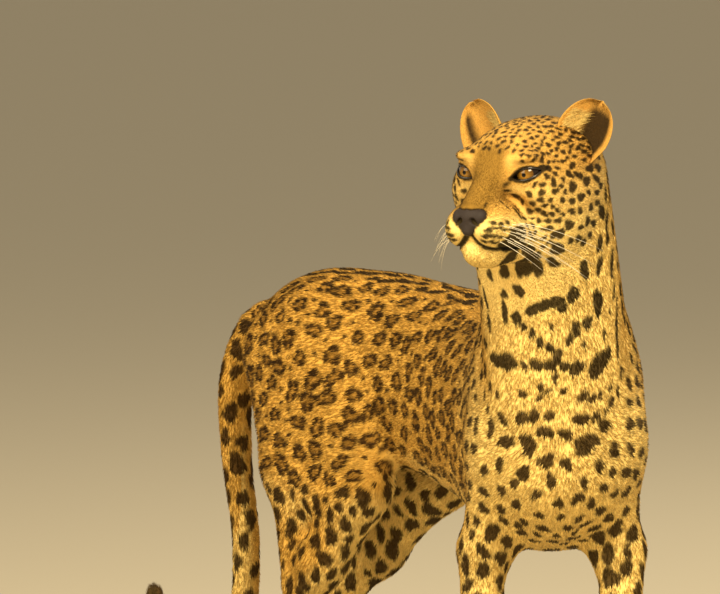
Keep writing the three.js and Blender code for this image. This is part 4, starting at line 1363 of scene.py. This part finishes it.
# The ears, cupped leaves with a pale rim, a cup darkened by painted shadow and a black back. The photograph
# shows the far ear held lower, and each cup's painted shadow from its own side. An ear's grid runs across it
# and up it.
EAR_WIDTH, EAR_HEIGHT, EAR_DEPTH, EAR_WALL = 66, 70, 28, 4
EAR_FOOT_UP = {1: 20, -1: 14}
EAR_SHADOW_FROM = {1: (-0.55, -0.1), -1: (0.3, 0.7)}
EAR_TUFTS = 2600
EAR_FRINGE = 420


def ear_point(u, v, back):
    narrowing = math.sqrt(max(1 - max((v - 0.35) / 0.65, 0) ** 2.2, 0))
    half = EAR_WIDTH / 2 * (0.8 + 0.2 * min(v / 0.35, 1)) * max(narrowing, 0.06)
    cup = EAR_DEPTH * (1 - 0.75 * v) * (1 - u * u)
    thick = EAR_WALL * (1.6 - v) * (1 - 0.6 * u * u) if back else 0
    return [-cup - thick - v * EAR_DEPTH * 0.3, u * half, v * EAR_HEIGHT]


def ear_matrix(side):
    return np.array(
        HEAD_MATRIX
        @ Matrix.Translation((-70, side * 57, EAR_FOOT_UP[side]))
        @ Matrix.Rotation(side * EAR_TURN, 4, "Z")
        @ Matrix.Rotation(-side * EAR_SPLAY, 4, "X")
    )


def ear_places(u, v, back, matrix):
    return np.array([ear_point(a, b, back) for a, b in zip(u, v)]) @ matrix[:3, :3].T + matrix[:3, 3]


def ear_colour(u, v, back, side):
    if back:
        patch = ramp(0.45, 0.25, math.hypot(u * 0.9, (v - 0.62) * 1.6))
        edge = ramp(0.8, 1.0, max(abs(u), ramp(0.7, 1.0, v)))
        colour = BLACK * 1.6 + (CREAM - BLACK) * (0.8 * patch)
        return colour + (GOLD - colour) * edge * 0.8
    # Painted shadow in the ear's cup: the front is darkened towards ink, less near the rim, the tip and one
    # side.
    cup = ramp(0.88, 0.7, u) * ramp(*EAR_SHADOW_FROM[side], u) * ramp(0.93, 0.75, v)
    colour = CREAM * 0.15 + DEEP_GOLD * 0.85
    return colour + (INK - colour) * cup * 0.95


def ear_colours(u, v, back, side):
    return np.array([ear_colour(a * side, b, back, side) for a, b in zip(u, v)])


def make_ear(node, side):
    matrix = ear_matrix(side)
    columns, rows = 28, 26
    row = columns + 1
    back = row * (rows + 1)
    v, u = np.divmod(np.arange(back), row)
    u, v = u / columns * 2 - 1, v / rows
    points = np.concatenate([ear_places(u, v, on_back, matrix) for on_back in (False, True)])
    colours = np.concatenate([ear_colours(u, v, on_back, side) for on_back in (False, True)])
    front = grid_faces(rows, columns, row)
    rim = [*range(columns), *range(columns, back - 1, row)]
    rim += [*range(back - 1, rows * row, -1), *range(rows * row, 0, -row)]
    walls = [[a, back + a, back + b, b] for a, b in zip(rim, rim[1:] + rim[:1])]
    faces = front + [[back + a for a in face[::-1]] for face in front] + walls
    made = make_object(node + "_skin", points, faces, SKIN, colours)
    lay_out_faces(made, points, faces)
    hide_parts(node)
    grow_ear_fur(side, node, matrix)


def ear_frame(u, v, back, matrix):
    """Places on an ear with the ways out of it and up it."""
    step = 0.01
    across = ear_places(u + step, v, back, matrix) - ear_places(u - step, v, back, matrix)
    upward = unit(ear_places(u, v + step, back, matrix) - ear_places(u, v - step, back, matrix))
    out = unit(np.cross(across, upward))
    return ear_places(u, v, back, matrix), (-out if back else out), upward


def grow_ear_fur(side, node, matrix):
    """Short fur on both faces of an ear, and long pale hairs over the front edge of its cup."""
    turn = np.random.default_rng(51 + side)
    for label, back, count, length, width in (
        ("front", False, EAR_TUFTS, 4.5, 1.4),
        ("back", True, EAR_TUFTS, 4.5, 1.4),
        ("fringe", False, EAR_FRINGE, 17.0, 0.8),
    ):
        u = turn.uniform(-0.97, 0.97, count)
        v = turn.uniform(0.03, 0.95, count)
        if label == "fringe":
            u = -side * turn.uniform(0.45, 0.95, count)
            v = turn.uniform(0.05, 0.6, count)
        place, out, flow = ear_frame(u, v, back, matrix)
        colour = ear_colours(u, v, back, side)
        if label == "fringe":
            flow = unit(flow + 0.9 * side * unit(np.cross(flow, out)))
            colour = np.full((count, 3), CREAM * 0.9)
        sizes = (length * (1.15 - 0.45 * v), np.full(count, width))
        make_tufts(f"{node}_fur_{label}", place, out, flow, *sizes, 0.22, 70 + side, lambda p, n: colour)


for name, side in SIDES.items():
    make_ear(f"ear_{name}", side)


# White whiskers from the pads, in four rows of five.
WHISKER_ROOT = 0.42


def make_whiskers():
    points, faces = [], []
    turn = np.random.default_rng(31)
    t = np.linspace(0, 1, 12)[:, None]
    for side, row, dot in itertools.product((1, -1), range(4), range(5)):
        root = np.array([70 - 9 * dot - 2 * row, 25 + 4.5 * dot + 2.0 * row, -54 - 6.6 * row - 0.4 * dot])
        reach = turn.uniform(45, 95) * (0.6 + 0.1 * dot)
        out = unit(np.array([-0.45 - 0.1 * dot, 1.0, -0.12 - 0.12 * row + turn.normal(0, 0.06)]))
        path = root + out * reach * t + np.array([-0.25, 0.0, -0.28]) * reach * t**2
        whisker, sides = tube(path * [1, side, 1], WHISKER_ROOT * (1 - 0.85 * t[:, 0]), 4)
        faces += [[k + len(points) for k in face] for face in sides]
        points += [*whisker]
    white = plain_material("whisker", tone(235, 225, 200), 0.35, 0, 100, 0.2)
    made = make_object("whiskers", on_head(points), faces, white)


make_whiskers()


# A plain pale floor and soft warm light. A light's azimuth and elevation are in degrees, its size in
# metres and its power in watts.
FLOOR_COLOUR = (0.50, 0.44, 0.33, 1)
SKY = (1.0, 0.88, 0.66)
SUN = (1.0, 0.84, 0.55)
LIGHTS = {
    "key": (78, 38, 1.3, 270, SUN),
    "fill": (12, 30, 3.0, 190, SUN),
    "rim": (200, 40, 3.0, 90, SKY),
}
LIGHT_DISTANCE = 4.5
LIGHT_AIM = Vector((0, 0, 0.5))


def make_stage():
    bpy.ops.mesh.primitive_plane_add(size=60, location=(0, 0, 0))
    floor = bpy.context.object
    floor.name = "floor"
    matte = new_material("floor_matte", {"Base Color": FLOOR_COLOUR, "Roughness": 0.9})[0]
    floor.data.materials.append(matte)
    world = bpy.data.worlds.new("world")
    bpy.context.scene.world = world
    world.use_nodes = True
    set_inputs(world.node_tree.nodes["Background"], {"Color": (*SKY, 1), "Strength": 0.5})
    bpy.context.scene.view_settings.view_transform = "Standard"
    for name, (azimuth, elevation, size, power, colour) in LIGHTS.items():
        data = bpy.data.lights.new(name, "AREA")
        data.size = size
        data.energy = power
        data.color = colour
        lamp = bpy.data.objects.new(name, data)
        a, e = math.radians(azimuth), math.radians(elevation)
        toward = Vector((math.sin(a) * math.cos(e), -math.cos(a) * math.cos(e), math.sin(e)))
        lamp.location = toward * LIGHT_DISTANCE + LIGHT_AIM
        lamp.rotation_euler = toward.to_track_quat("Z", "Y").to_euler()
        bpy.context.collection.objects.link(lamp)


make_stage()
